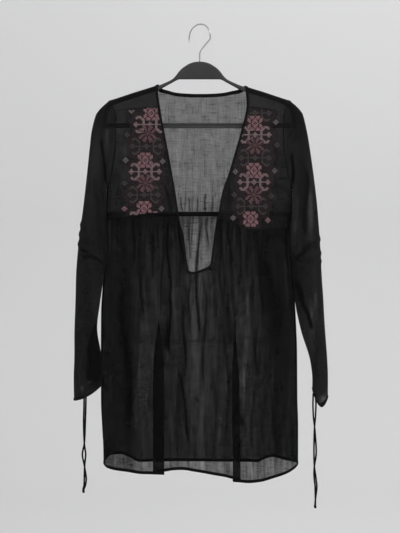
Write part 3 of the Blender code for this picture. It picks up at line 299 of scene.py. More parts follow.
BACK_YOKE_CREASES = (
    ("from_x", "from_z", "to_x", "to_z", "width", "rise", "layers"),
    (-22, -344, -20, -373, 1.6, -0.8, 0.7), (12, -336, 10, -373, 1.6, -0.8, 0.8),
    (-4, -348, -4, -373, 1.5, -0.7, 0.6), (27, -342, 25, -373, 1.6, -0.8, 0.7),
    (-38, -344, -35, -373, 1.6, -0.8, 0.6), (42, -346, 40, -373, 1.6, -0.7, 0.5),
    (-64, -336, -62, -373, 1.8, -0.8, 0.5), (66, -340, 64, -373, 1.8, -0.8, 0.5),
    (-98, -330, -97, -373, 1.8, -0.8, 0.5), (96, -334, 96, -373, 1.8, -0.8, 0.5),
    (-130, -340, -130, -373, 1.8, -0.8, 0.5), (132, -336, 131, -373, 1.8, -0.8, 0.5),
    (30, -190, 24, -240, 3.0, 0.7, -0.1), (-46, -250, -36, -330, 3.2, 0.8, -0.1),
    (110, -180, 104, -260, 4.0, -1.0, 0.2), (-110, -180, -106, -270, 4.0, -1.0, 0.2),
)
# face -1 is the front, 1 the back and 0 all round
SLEEVE_CREASES = (
    ("from_x", "from_z", "to_x", "to_z", "face", "width", "rise", "layers"),
    (-246, -394, -226, -404, 0, 5.0, 2.2, 0), (-248, -416, -228, -420, 0, 5.0, 2.4, 0),
    (-250, -437, -226, -440, 0, 4.5, 2.2, 0), (-236, -450, -220, -455, -1, 1.8, -1.6, 2.8),
    (-232, -465, -214, -463, -1, 1.9, -1.8, 2.8), (-214, -463, -203, -468, -1, 2.0, -1.8, 3.0),
    (-203, -468, -190, -478, -1, 2.2, -1.8, 2.6), (-232, -474, -210, -473, -1, 2.8, 1.4, -0.2),
    (-195, -230, -191, -272, -1, 2.4, -0.8, 2.2), (-191, -272, -186, -316, -1, 2.6, -0.8, 2.6),
    (-244, -408, -226, -413, -1, 2.2, -1.0, 0.4), (-206, -300, -204, -410, -1, 4.0, -1.8, 0.5),
    (-216, -250, -218, -370, -1, 5.0, 1.8, -0.1), (-196, -392, -190, -460, -1, 4.0, 1.6, 0.3),
    (-232, -500, -236, -700, -1, 5.5, 1.8, -0.1), (-203, -596, -218, -640, -1, 3.2, -2.2, 2.4),
    (-218, -640, -221, -706, -1, 3.2, -2.2, 2.4), (-224, -600, -228, -720, -1, 3.0, 1.2, 0),
    (-222, -714, -210, -709, 0, 1.7, 0.4, -1.5), (-214, -220, -204, -300, 1, 5.0, 1.6, 0),
    (-246, -430, -204, -440, 1, 3.5, -1.8, 0.5), (-240, -456, -200, -470, 1, 3.0, -1.6, 0.5),
    (-224, -500, -226, -700, 1, 6.0, -1.8, 0.4), (244, -427, 224, -432, 0, 4.5, 2.0, 0),
    (246, -456, 226, -459, 0, 4.5, 2.2, 0), (246, -472, 228, -474, 0, 4.0, 1.8, 0),
    (222, -436, 190, -470, -1, 4.0, -1.8, 1.8), (204, -473, 190, -470, -1, 2.0, -1.4, 2.2),
    (238, -446, 216, -452, -1, 2.4, -1.0, 0.2), (236, -466, 206, -473, -1, 2.4, 1.2, -0.2),
    (190, -514, 203, -552, -1, 5.0, -2.4, 2.8), (203, -552, 223, -606, -1, 3.6, -2.2, 2.8),
    (229, -534, 227, -566, -1, 3.4, 1.6, -0.55), (226, -568, 219, -588, -1, 2.6, 1.2, -0.5),
    (220, -296, 222, -420, -1, 3.6, 2.0, -0.3), (211, -290, 210, -420, -1, 4.6, -1.8, 1.6),
    (184, -258, 186, -318, -1, 2.8, -0.8, 2.6), (230, -330, 232, -420, -1, 4.0, -1.4, 0.4),
    (193, -340, 191, -430, -1, 2.6, 1.2, -0.5), (236, -510, 240, -700, -1, 5.5, 1.8, -0.1),
    (214, -230, 204, -310, 1, 5.0, 1.6, 0), (244, -440, 204, -452, 1, 3.5, -1.8, 0.5),
    (238, -464, 200, -478, 1, 3.0, -1.6, 0.5), (222, -510, 232, -700, 1, 6.0, -1.8, 0.4),
)


def column(table, name):
    """One named column of a table."""
    place = table[0].index(name)
    return np.array([row[place] for row in table[1:]], float)


def rows_of(table):
    """The table's rows, each with its values by name."""
    return [dict(zip(table[0], row)) for row in table[1:]]


def curve(table, along, value):
    """Smooth function through two columns of a table, without overshoot."""
    at = column(table, along)
    order = np.argsort(at)
    return smooth_through(at[order], column(table, value)[order])


def smooth_through(at, height):
    """Monotone cubic through the given values, held level beyond its ends."""
    step = np.diff(at)
    rise = np.diff(height) / step
    slope = np.zeros(len(at))
    slope[0] = rise[0]
    slope[-1] = rise[-1]
    for i in range(1, len(at) - 1):
        if rise[i - 1] * rise[i] > 0:
            slope[i] = 2 * rise[i - 1] * rise[i] / (rise[i - 1] + rise[i])

    def read(position):
        x = np.clip(position, at[0], at[-1])
        i = np.clip(np.searchsorted(at, x) - 1, 0, len(at) - 2)
        t = (x - at[i]) / step[i]
        start = (2 * t**3 - 3 * t**2 + 1) * height[i] \
            + (t**3 - 2 * t**2 + t) * step[i] * slope[i]
        end = (3 * t**2 - 2 * t**3) * height[i + 1] + (t**3 - t**2) * step[i] * slope[i + 1]
        return start + end

    return read


def values_at(table, at):
    """Each column of a table, read smoothly at row numbers."""
    steps = np.arange(len(table) - 1.0)
    return {name: smooth_through(steps, column(table, name))(at) for name in table[0]}


def between(before, start, after, later, t):
    """Smooth cubic from start to after, at the share t of the way."""
    return 0.5 * (2 * start + (after - before) * t
                  + (2 * before - 5 * start + 4 * after - later) * t**2
                  + (3 * start - before - 3 * after + later) * t**3)


def unit(vectors):
    """The same directions with the length 1."""
    return vectors / np.maximum(np.linalg.norm(vectors, axis=-1), 1e-9)[..., None]


def mix(a, b, share):
    """Value between a and b at the given share of the way."""
    return a + (b - a) * share


def ease(t):
    """Soft step from 0 to 1."""
    t = np.clip(t, 0.0, 1.0)
    return t * t * (3 - 2 * t)


# Form of the body, as in the solids: where its cloth lies in depth

ridge_across = curve(RIDGE, "across", "height")
armhole = curve(ARMHOLE, "height", "across")
armhole_openness = curve(ARMHOLE, "height", "openness")
side_left = curve(SIDE_SEAMS, "height", "left")
side_right = curve(SIDE_SEAMS, "height", "right")
body_depth = curve(BODY_DEPTH, "height", "half_depth")
front_seam = curve(FRONT_SEAM, "across", "height")
front_hem = curve(FRONT_HEM, "across", "height")
back_hem = curve(BACK_HEM, "across", "height")
forward_seam = curve(FORWARD_SEAM, "across", "height")


def ridge(x):
    """Height of the shoulder ridge."""
    return ridge_across(np.abs(x))


def half_width(z, side):
    """Distance from the centre line to the armhole or the side seam."""
    seam = side_left(z) if side < 0 else side_right(z)
    return np.where(z > UNDERARM, armhole(z), seam)


def half_depth(x, z):
    """Distance in depth from the middle plane to the cloth, before folds."""
    drop = np.maximum(ridge(x) - z, 0.0)
    near = np.clip(drop / RIDGE_RADIUS, 0.0, 1.0)
    lift = RIDGE_RADIUS * np.sqrt(np.maximum(1 - (1 - near) ** 2, 0.0))
    belly = (body_depth(z) - RIDGE_RADIUS) * ease((drop - RIDGE_RADIUS) / BELLY_DROP)
    edge = np.where(x < 0, half_width(z, -1), half_width(z, 1))
    reach = np.clip(np.abs(x) / edge, 0.0, 1.0)
    opened = np.where(z > UNDERARM, armhole_openness(z), 0.0)
    power = mix(1 / BODY_SHAPE, 1.0, opened)
    closing = opened + (1 - opened) * (1 - reach**BODY_SHAPE) ** power
    return (lift + belly) * closing


FOLD_HEAD = 0.12
FOLD_HEAD_RATE = 5.0
FOLD_TAIL = 1.08
FOLD_TAIL_RATE = 4.0
GATHER_DRIFT = 0.16
GATHER_DRIFT_WAVES = 9.1
GATHER_UNEVEN = 0.25
GATHER_BEAT = 1.3
GATHER_PINCH = 0.4
GATHER_OPENS = 12.0
GATHER_FADES = 36.0
CREASE_BOW = 0.02          # share of its length
CREASE_BOW_TURNS = 1.7
CREASE_ENDS = (4.0, 0.4)   # how fast its ends fade, and how far beyond them


def fold_depth(table, x, z):
    """Sum of the tabled folds at places on the front or the back."""
    total = np.zeros(np.broadcast(x, z).shape)
    for fold in rows_of(table):
        way = (fold["top_z"] - z) / (fold["top_z"] - fold["low_z"])
        centre = mix(fold["top_x"], fold["low_x"], way)
        fade = ease((way + FOLD_HEAD) * FOLD_HEAD_RATE) * ease((FOLD_TAIL - way) * FOLD_TAIL_RATE)
        total = total + fold["rise"] * fade * np.exp(-(((x - centre) / fold["width"]) ** 2))
    return total


def settle(x, z):
    """Share of a fold that is left near the side seams."""
    edge = np.where(x < 0, half_width(z, -1), half_width(z, 1))
    return 1 - ease((np.abs(x) / edge - CALM_START) / CALM_SPAN)


def gathers(share, count, below, height, seed, fades=GATHER_FADES):
    """Small uneven gathers that start at a seam and die out below it."""
    drift = GATHER_DRIFT * np.sin(GATHER_DRIFT_WAVES * share + seed)
    uneven = 1 - GATHER_UNEVEN * (1 - np.sin(GATHER_BEAT * count * share + seed))
    rise = mix(GATHER_PINCH, 1.0, ease(below / GATHER_OPENS))
    wave = np.cos(2 * math.pi * (count * share + drift))
    return height * uneven * rise * np.exp(-below / fades) * wave


def creases(table, x, z, face=None):
    """Heights of the tabled creases, and the layers of cloth that they add."""
    rise = np.zeros(np.broadcast(x, z).shape)
    layers = np.zeros_like(rise)
    rate, beyond = CREASE_ENDS
    for mark in rows_of(table):
        run_x = mark["to_x"] - mark["from_x"]
        run_z = mark["to_z"] - mark["from_z"]
        length = math.hypot(run_x, run_z)
        from_x = x - mark["from_x"]
        from_z = z - mark["from_z"]
        along = (from_x * run_x + from_z * run_z) / length**2
        away = (from_x * run_z - from_z * run_x) / length
        turn = math.pi * np.clip(along, 0, 1) * CREASE_BOW_TURNS + mark["from_x"]
        ends = ease(along * rate + beyond) * ease((1 - along) * rate + beyond)
        bow = CREASE_BOW * length * np.sin(turn)
        here = ends * np.exp(-(((away - bow * ends) / mark["width"]) ** 2))
        if face is not None and mark["face"] != 0:
            here = here * ease(face * mark["face"] * 2)
        rise = rise + mark["rise"] * here
        layers = layers + mark["layers"] * here
    return rise, layers


def on_ridge(x, path, out=0.0):
    """Place on the yoke at a distance from the ridge, front below 0 and back above."""
    turn = np.clip(path / RIDGE_RADIUS, -math.pi / 2, math.pi / 2)
    radius = RIDGE_RADIUS + out
    beyond = np.maximum(np.abs(path) - QUARTER_TURN, 0.0)
    z = ridge(x) - RIDGE_RADIUS + radius * np.cos(turn) - beyond
    flat = half_depth(x, np.minimum(z, ridge(x) - RIDGE_RADIUS)) + out
    y = np.where(beyond > 0, np.sign(path) * flat, radius * np.sin(turn))
    return np.stack(np.broadcast_arrays(x, y, z), axis=-1)


def path_of(x, z, face):
    """Distance from the ridge of a place at height z on the front or the back."""
    return face * (QUARTER_TURN + ridge(x) - RIDGE_RADIUS - z)


def height_of(x, path):
    """Height of a place on the front or the back at a distance from the ridge."""
    return ridge(x) - RIDGE_RADIUS + QUARTER_TURN - np.abs(path)


def armhole_at_path(path):
    """Half width at the armhole, at a distance from the ridge."""
    over = np.minimum(path, QUARTER_TURN)
    fall = RIDGE_RADIUS * (1 - np.cos(over / RIDGE_RADIUS)) + np.maximum(path - QUARTER_TURN, 0)
    return armhole(SHOULDER_TIP - fall)


# Neck edge, as in the solids but with more stations

NECK_STEPS = 8
NECK_CORNER_DROP = 4.0
NECK_SEAM_TOP = -164.5
FRONT_SIDE_END = -386.0
NECK_SHARPEST = 0.75       # cosine where the line's corners are held
OPENING_GUESS = 60.0       # where the search for the opening's edge starts
OPENING_ROUNDS = 6
RIDGE_ROWS = [i for i, row in enumerate(NECK_EDGE[1:]) if row[2] == 0]


def neck_line():
    """Neck edge: distance across, distance from the ridge, binding width and table row."""
    x = column(NECK_EDGE, "across")
    face = column(NECK_EDGE, "face")
    path = np.where(face == 0, 0.0, path_of(x, column(NECK_EDGE, "height"), face))
    points = np.stack([x, path, column(NECK_EDGE, "binding")], axis=1)
    count = len(points)
    out = []
    for i in range(count):
        near = [points[(i + k - 1) % count] for k in range(4)]
        for t in np.arange(NECK_STEPS) / NECK_STEPS:
            out.append((*between(*near, t), i + t))
    return np.array(out)


def moved_in(line, distance):
    """Neck line moved away from the opening by a distance at each row."""
    flat = line[:, :2]
    before = unit(flat - np.roll(flat, 1, axis=0))
    after = unit(np.roll(flat, -1, axis=0) - flat)
    along = unit(before + after)
    outward = np.stack([-along[:, 1], along[:, 0]], axis=1)
    square = np.maximum(np.sum(along * after, axis=1), NECK_SHARPEST)
    return flat + outward * (distance / square)[:, None]


neck = neck_line()
panel_edge = moved_in(neck, neck[:, 2] - TUCK)


def neck_station(row):
    """Number of the neck station at a row of the neck's table."""
    return int(np.searchsorted(neck[:, 3], row))


FOOT_ROW_LEFT = 3
FOOT_ROW_RIGHT = len(NECK_EDGE) - 3
CORNER_LEFT = neck_station(FOOT_ROW_LEFT)
CORNER_RIGHT = neck_station(FOOT_ROW_RIGHT)


def edge_x(side, path):
    """Panel edge beside the neck, left or right, at a distance from the ridge."""
    if side < 0:
        part = panel_edge[CORNER_LEFT:neck_station(RIDGE_ROWS[0] + 1) + 1]
    else:
        part = panel_edge[neck_station(RIDGE_ROWS[1] - 1):CORNER_RIGHT + 1]
    order = np.argsort(part[:, 1])
    return np.interp(path, part[order, 1], part[order, 0])


def edge_x_at(side, z):
    """Panel edge beside the front opening at a height."""
    x = OPENING_GUESS * side
    for _ in range(OPENING_ROUNDS):
        x = edge_x(side, path_of(x, z, -1))
    return x


# Materials

NOISE_RANGE = (0.3, 0.7)   # where most of a noise's values lie


def link(tree, value, socket):
    """Give an input its value: a number, a colour or another node's output."""
    if isinstance(value, bpy.types.NodeSocket):
        tree.links.new(value, socket)
    else:
        socket.default_value = value


def maths(tree, operation, first, second):
    """Output of a Math node on two sockets or numbers."""
    node = tree.nodes.new("ShaderNodeMath")
    node.operation = operation
    for socket, value in zip(node.inputs, (first, second)):
        link(tree, value, socket)
    return node.outputs[0]


def spread(tree, value, low, high, to_low=0.0, to_high=1.0):
    """Output of a Map Range node."""
    node = tree.nodes.new("ShaderNodeMapRange")
    names = ("Value", "From Min", "From Max", "To Min", "To Max")
    for name, number in zip(names, (value, low, high, to_low, to_high)):
        link(tree, number, node.inputs[name])
    return node.outputs["Result"]


def noise(tree, place, dimensions, scale, detail):
    """Output of a Noise node."""
    node = tree.nodes.new("ShaderNodeTexNoise")
    node.noise_dimensions = dimensions
    node.inputs["Scale"].default_value = scale
    node.inputs["Detail"].default_value = detail
    link(tree, place, node.inputs["Vector"])
    return node.outputs["Fac"]


def threads(tree, across, along):
    """Noise drawn out along one direction of the cloth, in cycles a metre."""
    place = tree.nodes.new("ShaderNodeUVMap")
    place.uv_map = "cloth"
    stretch = tree.nodes.new("ShaderNodeMapping")
    stretch.inputs["Scale"].default_value = (across, along, 1.0)
    link(tree, place.outputs["UV"], stretch.inputs["Vector"])
    return noise(tree, stretch.outputs["Vector"], "2D", 1.0, 2.0)


def cloud(tree, scale):
    """Noise in the object's own space, in cycles a metre."""
    place = tree.nodes.new("ShaderNodeTexCoord")
    return noise(tree, place.outputs["Object"], "3D", scale, 3.0)


def attribute(tree, name, output):
    """What a mesh stores at its points under a name."""
    node = tree.nodes.new("ShaderNodeAttribute")
    node.attribute_name = name
    return node.outputs[output]


def blended(tree, share, first, second, way="MIX"):
    """Colour made of two, each a colour or a socket."""
    node = tree.nodes.new("ShaderNodeMix")
    node.data_type = "RGBA"
    node.blend_type = way
    for place, value in ((0, share), (6, first), (7, second)):
        link(tree, value, node.inputs[place])
    return node.outputs[2]


def coloured(tree, shader, share, dark, light):
    """Surface colour between two by a share from 0 to 1."""
    tone = blended(tree, share, (*dark, 1.0), (*light, 1.0))
    link(tree, tone, shader.inputs["Base Color"])


def bumped(tree, shader, height, strength, distance):
    """Relief too fine for the mesh, in metres."""
    node = tree.nodes.new("ShaderNodeBump")
    node.inputs["Strength"].default_value = strength
    node.inputs["Distance"].default_value = distance
    link(tree, height, node.inputs["Height"])
    link(tree, node.outputs["Normal"], shader.inputs["Normal"])


def new_material(name, roughness, metallic=0.0, specular=0.5, sheen=0.0):
    """Material with its node tree and its shader."""
    material = bpy.data.materials.new(name)
    material.use_nodes = True
    shader = material.node_tree.nodes["Principled BSDF"]
    shader.inputs["Roughness"].default_value = roughness
    shader.inputs["Metallic"].default_value = metallic
    shader.inputs["Specular IOR Level"].default_value = specular
    shader.inputs["Sheen Weight"].default_value = sheen
    shader.inputs["Sheen Roughness"].default_value = 0.5
    return material, material.node_tree, shader


# Sheer cloth, with its threads, slubs and thicker places in cycles a metre across and
# along it
WARP = (620.0, 26.0)
WEFT = (30.0, 700.0)
SLUBS_DOWN = (330.0, 34.0)
SLUBS_ACROSS = (46.0, 300.0)
SLUB_RANGE = (0.6, 0.76)
SLUB_THICKNESS = 0.34
UNEVEN = (60.0, 42.0)
UNEVEN_THICKNESS = (0.91, 1.09)
WEAVE_THICKNESS = (0.8, 1.14)
SEEN_THROUGH = 0.19        # light that one layer of the mean thickness lets pass
SHADED_LAYERS = (2.1, 3.5)   # painted shade: the threads' colour darkens to its dark end between these many layers


def sheer_material(name, dark, light):
    """Thin slubby cotton: some light passes, less where threads or layers lie closer; painted
    shade darkens its colour where layers pile up.
    """
    material, tree, shader = new_material(name, 0.8, specular=0.05, sheen=0.022)
    weave = maths(tree, "ADD", *(maths(tree, "MULTIPLY", threads(tree, *way), 0.5)
                                 for way in (WARP, WEFT)))
    slubs = maths(tree, "ADD", *(spread(tree, threads(tree, *way), *SLUB_RANGE)
                                 for way in (SLUBS_DOWN, SLUBS_ACROSS)))
    thick = maths(tree, "ADD", spread(tree, weave, *NOISE_RANGE, *WEAVE_THICKNESS),
                  maths(tree, "MULTIPLY", slubs, SLUB_THICKNESS))
    uneven = spread(tree, threads(tree, *UNEVEN), *NOISE_RANGE, *UNEVEN_THICKNESS)
    layers = attribute(tree, "layers", "Fac")
    thick = maths(tree, "MULTIPLY", maths(tree, "MULTIPLY", thick, uneven), layers)
    through = maths(tree, "POWER", SEEN_THROUGH, thick)
    link(tree, maths(tree, "SUBTRACT", 1.0, through), shader.inputs["Alpha"])
    # Painted shade: the colour goes dark where many layers lie, as stacked cloth shades itself
    unshaded_share = spread(tree, layers, *SHADED_LAYERS, 1.0, 0.0)
    tone = maths(tree, "MULTIPLY", spread(tree, weave, *NOISE_RANGE), unshaded_share)
    coloured(tree, shader, tone, dark, light)
    bumped(tree, shader, maths(tree, "ADD", weave, slubs), 0.25, 0.0003)
    return material


def close_material(name, dark, light, roughness=0.8):
    """Folded black cotton that nothing shows through."""
    material, tree, shader = new_material(name, roughness, specular=0.1, sheen=0.05)
    weave = maths(tree, "ADD", cloud(tree, 700.0), cloud(tree, 90.0))
    coloured(tree, shader, spread(tree, weave, 0.7, 1.3), dark, light)
    bumped(tree, shader, weave, 0.5, 0.0004)
    return material


def thread_material():
    """Embroidery thread, each stitch in its own colour."""
    material, tree, shader = new_material("embroidery_thread", 0.6, specular=0.3, sheen=0.3)
    fibre = cloud(tree, 2400.0)
    light = blended(tree, spread(tree, fibre, *NOISE_RANGE), (0.7, 0.7, 0.7, 1.0),
                    (1.2, 1.2, 1.2, 1.0))
    tone = blended(tree, 1.0, attribute(tree, "thread", "Color"), light, "MULTIPLY")
    link(tree, tone, shader.inputs["Base Color"])
    bumped(tree, shader, fibre, 0.6, 0.0003)
    return material


def hard_material(name, metallic, specular, haze, grain, dark, light, roughness, relief):
    """Plastic or wire with a slightly uneven shine and a fine grain."""
    material, tree, shader = new_material(name, roughness[0], metallic, specular)
    shine = cloud(tree, haze)
    coloured(tree, shader, spread(tree, shine, *NOISE_RANGE), dark, light)
    link(tree, spread(tree, shine, *NOISE_RANGE, *roughness), shader.inputs["Roughness"])
    bumped(tree, shader, cloud(tree, grain), *relief)
    return material


SHEER = sheer_material("sheer_cotton", (0.002, 0.002, 0.0021), (0.0075, 0.0074, 0.0075))
# Lighter copy of the same voile for the yokes and sleeves: painted light from above on the upper
# parts
TOP_LIT_SHEER = sheer_material("voile_painted_top_light", (0.0045, 0.0044, 0.0046), (0.0165, 0.0160, 0.0165))
SHEER_STRIP = close_material("folded_voile", (0.002, 0.002, 0.0021), (0.006, 0.006, 0.006))
TRIM = close_material("folded_cotton", (0.0035, 0.0035, 0.0037), (0.010, 0.010, 0.010))
CORD = close_material("cotton_cord", (0.002, 0.002, 0.0021), (0.007, 0.007, 0.007))
SEWING = close_material("sewing_thread", (0.006, 0.006, 0.006), (0.022, 0.022, 0.022), 0.6)
THREAD = thread_material()
PLASTIC = hard_material("moulded_plastic", 0.0, 0.4, 22.0, 1800.0, (0.040, 0.040, 0.042),
                        (0.052, 0.052, 0.054), (0.42, 0.55), (0.25, 0.0002))
CHROME = hard_material("bright_wire", 1.0, 0.5, 900.0, 900.0, (0.52, 0.52, 0.53),
                       (0.66, 0.66, 0.67), (0.12, 0.26), (0.1, 0.0001))


# Mesh making

SHARP_EDGE = 50.0          # degrees
STRIP_SHAPE = 0.7          # how square the section of folded cloth is


def in_scene(name, data):
    """New object of a mesh, curve, lamp or camera."""
    item = bpy.data.objects.new(name, data)
    bpy.context.scene.collection.objects.link(item)
    return item


def add_piece(name, data, material, slot, *replaced):
    """Visible piece on the body, in place of the named solids if there are any."""
    data.materials.append(material)
    piece = in_scene(name, data)
    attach(piece, BODY)
    if replaced:
        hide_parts(*replaced)
    return piece


def mesh_of(name, points, faces):
    """Smooth mesh of points in millimetres."""
    data = bpy.data.meshes.new(name)
    data.from_pydata((points.reshape(-1, 3) * MM).tolist(), [], faces)
    data.shade_smooth()
    return data


def mesh_of_many(name, points, faces):
    """Mesh of many small bodies with the same faces, a row of points for each."""
    count, size, _ = points.shape
    faces = np.array(faces)[None] + size * np.arange(count)[:, None, None]
    return mesh_of(name, points, faces.reshape(-1, 4).tolist())


def normals_of(points, closed=False):
    """Unit normals of a grid of points."""
    if closed:
        across = np.roll(points, -1, axis=1) - np.roll(points, 1, axis=1)
    else:
        across = np.gradient(points, axis=1)
    down = np.gradient(points, axis=0)
    return unit(np.cross(across, down))


def grid_mesh(name, points, flat=None, layers=None):
    """Mesh of a grid; places without a point hold nan. flat is its place in the cloth."""
    rows, count, _ = points.shape
    there = ~np.isnan(points[:, :, 0])
    number = np.full((rows, count), -1)
    number[there] = np.arange(there.sum())
    corners = [number[:-1, :-1], number[:-1, 1:], number[1:, 1:], number[1:, :-1]]
    faces = np.stack(corners, axis=-1).reshape(-1, 4)
    faces = faces[(faces >= 0).all(axis=1)]
    data = mesh_of(name, points[there], faces.tolist())
    if flat is not None:
        corners = np.zeros(len(data.loops), int)
        data.loops.foreach_get("vertex_index", corners)
        layer = data.uv_layers.new(name="cloth")
        layer.data.foreach_set("uv", (flat[there] * MM)[corners].ravel())
        density = data.attributes.new("layers", "FLOAT", "POINT")
        density.data.foreach_set("value", layers[there].astype(np.float32))
    return data


def flat_places(across, down):
    """Places in the flat cloth, for its weave."""
    return np.stack(np.broadcast_arrays(across, down), axis=-1).astype(float)


def cloth_piece(node, points, flat, layers, material):
    """Open sheet of sheer cloth in place of a node's solid."""
    name = node + "_cloth"
    return add_piece(name, grid_mesh(name, points, flat, layers), material, "cloth", node)


def folded_strip(name, upper, lower, half, material, slot, *replaced, closed=False, sides=8):
    """Rounded flat strip of folded cloth between two lines, closed at its ends."""
    centre = (upper + lower) / 2
    reach = (upper - lower) / 2
    if closed:
        along = np.roll(centre, -1, axis=0) - np.roll(centre, 1, axis=0)
    else:
        along = np.gradient(centre, axis=0)
    out = unit(np.cross(along, reach)) * half
    angles = np.arange(sides) * 2 * math.pi / sides
    squared = np.sign(np.cos(angles)) * np.abs(np.cos(angles)) ** STRIP_SHAPE
    rings = centre[:, None] + reach[:, None] * squared[None, :, None] \
        + out[:, None] * np.sin(angles)[None, :, None]
    return skinned(name, rings, material, slot, *replaced, closed=closed)


def seam_strip(name, upper, lower, half=FOLDED_HALF, closed=False):
    """Seam allowance or hem of the sheer cloth, folded tight."""
    return folded_strip(name, upper, lower, half, SHEER_STRIP, "cloth", closed=closed)


def skinned(name, rings, material, slot, *replaced, closed=False):
    """Closed mesh through rings of points."""
    count, sides, _ = rings.shape
    number = np.arange(count * sides).reshape(count, sides)
    near = number if closed else number[:-1]
    far = np.roll(number, -1, axis=0) if closed else number[1:]
    faces = np.stack([near, np.roll(near, -1, axis=1), np.roll(far, -1, axis=1), far], axis=-1)
    faces = faces.reshape(-1, 4).tolist()
    if not closed:
        faces += [number[0][::-1].tolist(), number[-1].tolist()]
    data = mesh_of(name, rings, faces)
    data.validate()
    data.set_sharp_from_angle(angle=math.radians(SHARP_EDGE))
    return add_piece(name, data, material, slot, *replaced)


def refined(points, times, axis, closed=False):
    """Grid with more points along one axis, on smooth curves through its own."""
    grid = np.moveaxis(points, axis, 0)
    if closed:
        before, after, later = (np.roll(grid, shift, axis=0) for shift in (1, -1, -2))
        start = grid
    else:
        padded = np.concatenate([[2 * grid[0] - grid[1]], grid, [2 * grid[-1] - grid[-2]]])
        before, start, after, later = padded[:-3], padded[1:-2], padded[2:-1], padded[3:]
    parts = [between(before, start, after, later, t) for t in np.arange(times) / times]
    dense = np.stack(parts, axis=1).reshape(-1, *grid.shape[1:])
    if not closed:
        dense = np.concatenate([dense, grid[-1:]])
    return np.moveaxis(dense, 0, axis)


def resampled(line, step, *others):
    """Points at even distances along a line, and the same points of other rows of values."""
    far = np.concatenate([[0], np.cumsum(np.linalg.norm(np.diff(line, axis=0), axis=1))])
    places = np.linspace(0, far[-1], max(2, round(far[-1] / step)))
    return [np.stack([np.interp(places, far, row[:, k]) for k in range(3)], axis=1)
            for row in (line, *others)]


STITCH = 2.6               # one sewing stitch and the gap after it
STITCH_SHARE = 0.72        # share of it that the thread covers
STITCH_HALF = 0.28         # half thickness of the sewing thread
STITCH_HIGH = 1.6          # height of its middle in half thicknesses
STITCH_SHAPE = ((0.0, 0.35), (0.3, 1.0), (0.7, 1.0), (1.0, 0.35))
STITCH_FACES = [(a + i, a + (i + 1) % 3, a + (i + 1) % 3 + 3, a + i + 3)
                for a in (0, 3, 6) for i in range(3)]


def sewn_line(name, line, out, closed=False):
    """Row of sewing stitches along a line, on the side that out points to."""
    out = np.broadcast_to(out, line.shape)
    if closed:
        line, out = (np.concatenate([row, row[:1]]) for row in (line, out))
    places, lifts = resampled(line, STITCH, out)
    start = places[:-1]
    end = mix(start, places[1:], STITCH_SHARE)
    along = end - start
    up = unit(lifts[:-1])
    side = unit(np.cross(along, up))
    points = []
    for way, high in STITCH_SHAPE:
        middle = start + along * way + lifts[:-1]
        points += [middle - side * STITCH_HALF, middle + up * STITCH_HALF * STITCH_HIGH * high,
                   middle + side * STITCH_HALF]
    data = mesh_of_many(name, np.stack(points, axis=1), STITCH_FACES)
    return add_piece(name, data, SEWING, "trim")


# Camera, studio and light

STUDIO_RADIUS = 6.5        # metres from here to the end of this part
STUDIO_FLOOR = -1.75
STUDIO_TOP = 3.2
STUDIO_BEND = 1.6
STUDIO_WHITE = (0.78, 0.78, 0.785, 1.0)
AIR_LIGHT = 0.62
VIEW_END = 60.0
SHEER_BOUNCES = 32         # sheets that one ray may pass
LIGHTS = (
    ("name", "place", "aim", "size", "power"),
    ("key", (1.9, -1.9, 2.1), (0.0, 0.0, -0.3), 2.0, 36.0),
    ("fill", (-2.6, -2.4, 0.4), (0.0, 0.0, -0.5), 2.4, 10.0),
    ("backdrop_light", (1.3, 2.6, 2.8), (0.35, 6.5, 0.75), 3.0, 72.0),
)


def camera_and_studio():
    """Camera of the photograph's view, a white studio, its lamps and its even light."""
    data = bpy.data.cameras.new("camera")
    data.sensor_width = SENSOR
    data.lens = SENSOR * -CAMERA_PLACE[1] / FRAME_HEIGHT
    data.clip_end = VIEW_END
    camera = in_scene("camera", data)
    camera.location = np.array(CAMERA_PLACE) * MM
    camera.rotation_euler = (math.pi / 2, 0, 0)
    scene = bpy.context.scene
    scene.camera = camera

    profile = [(0.02, STUDIO_FLOOR), (STUDIO_RADIUS - STUDIO_BEND, STUDIO_FLOOR)]
    for turn in np.radians(np.arange(6, 90, 6)):
        profile.append((STUDIO_RADIUS - STUDIO_BEND * (1 - math.sin(turn)),
                        STUDIO_FLOOR + STUDIO_BEND * (1 - math.cos(turn))))
    profile += [(STUDIO_RADIUS, STUDIO_FLOOR + STUDIO_BEND), (STUDIO_RADIUS, STUDIO_TOP)]
    angles = np.radians(np.arange(0, 361, 5))
    points = np.array([[(r * math.cos(a), r * math.sin(a), z) for a in angles]
                       for r, z in profile])
    studio = in_scene("studio", grid_mesh("studio", points / MM))
    material, _, shader = new_material("studio_white", 0.9, specular=0.1)
    shader.inputs["Base Color"].default_value = STUDIO_WHITE
    studio.data.materials.append(material)

    for lamp in rows_of(LIGHTS):
        data = bpy.data.lights.new(lamp["name"], "AREA")
        data.shape = "SQUARE"
        data.size = lamp["size"]
        data.energy = lamp["power"]
        light = in_scene(lamp["name"], data)
        light.location = lamp["place"]
        east, north, up = np.array(lamp["aim"]) - np.array(lamp["place"])
        light.rotation_euler = (math.atan2(math.hypot(east, north), -up), 0,
                                math.atan2(-east, north))

    world = bpy.data.worlds.new("studio_air")
    world.use_nodes = True
    air = world.node_tree.nodes["Background"]
    air.inputs["Color"].default_value = (1.0, 1.0, 1.0, 1.0)
    air.inputs["Strength"].default_value = AIR_LIGHT
    scene.world = world
    scene.view_settings.view_transform = "Standard"
    scene.cycles.transparent_max_bounces = SHEER_BOUNCES


# Front yokes

YOKE_ROWS = 150
YOKE_COLUMNS = 100
YOKE_STREAKS = 0.12        # layers
SEAM_COLUMNS = 60
SEAM_AT_ARMHOLE = -171.85


def on_front_yoke(x, z, out=0.0):
    """Places on a front yoke and the layers of cloth there."""
    rise, layers = creases(YOKE_CREASES, x, z)
    y = -half_depth(x, z) - SIDE_GAP - rise * settle(x, z) - out
    return np.stack(np.broadcast_arrays(x, y, z), axis=-1), layers


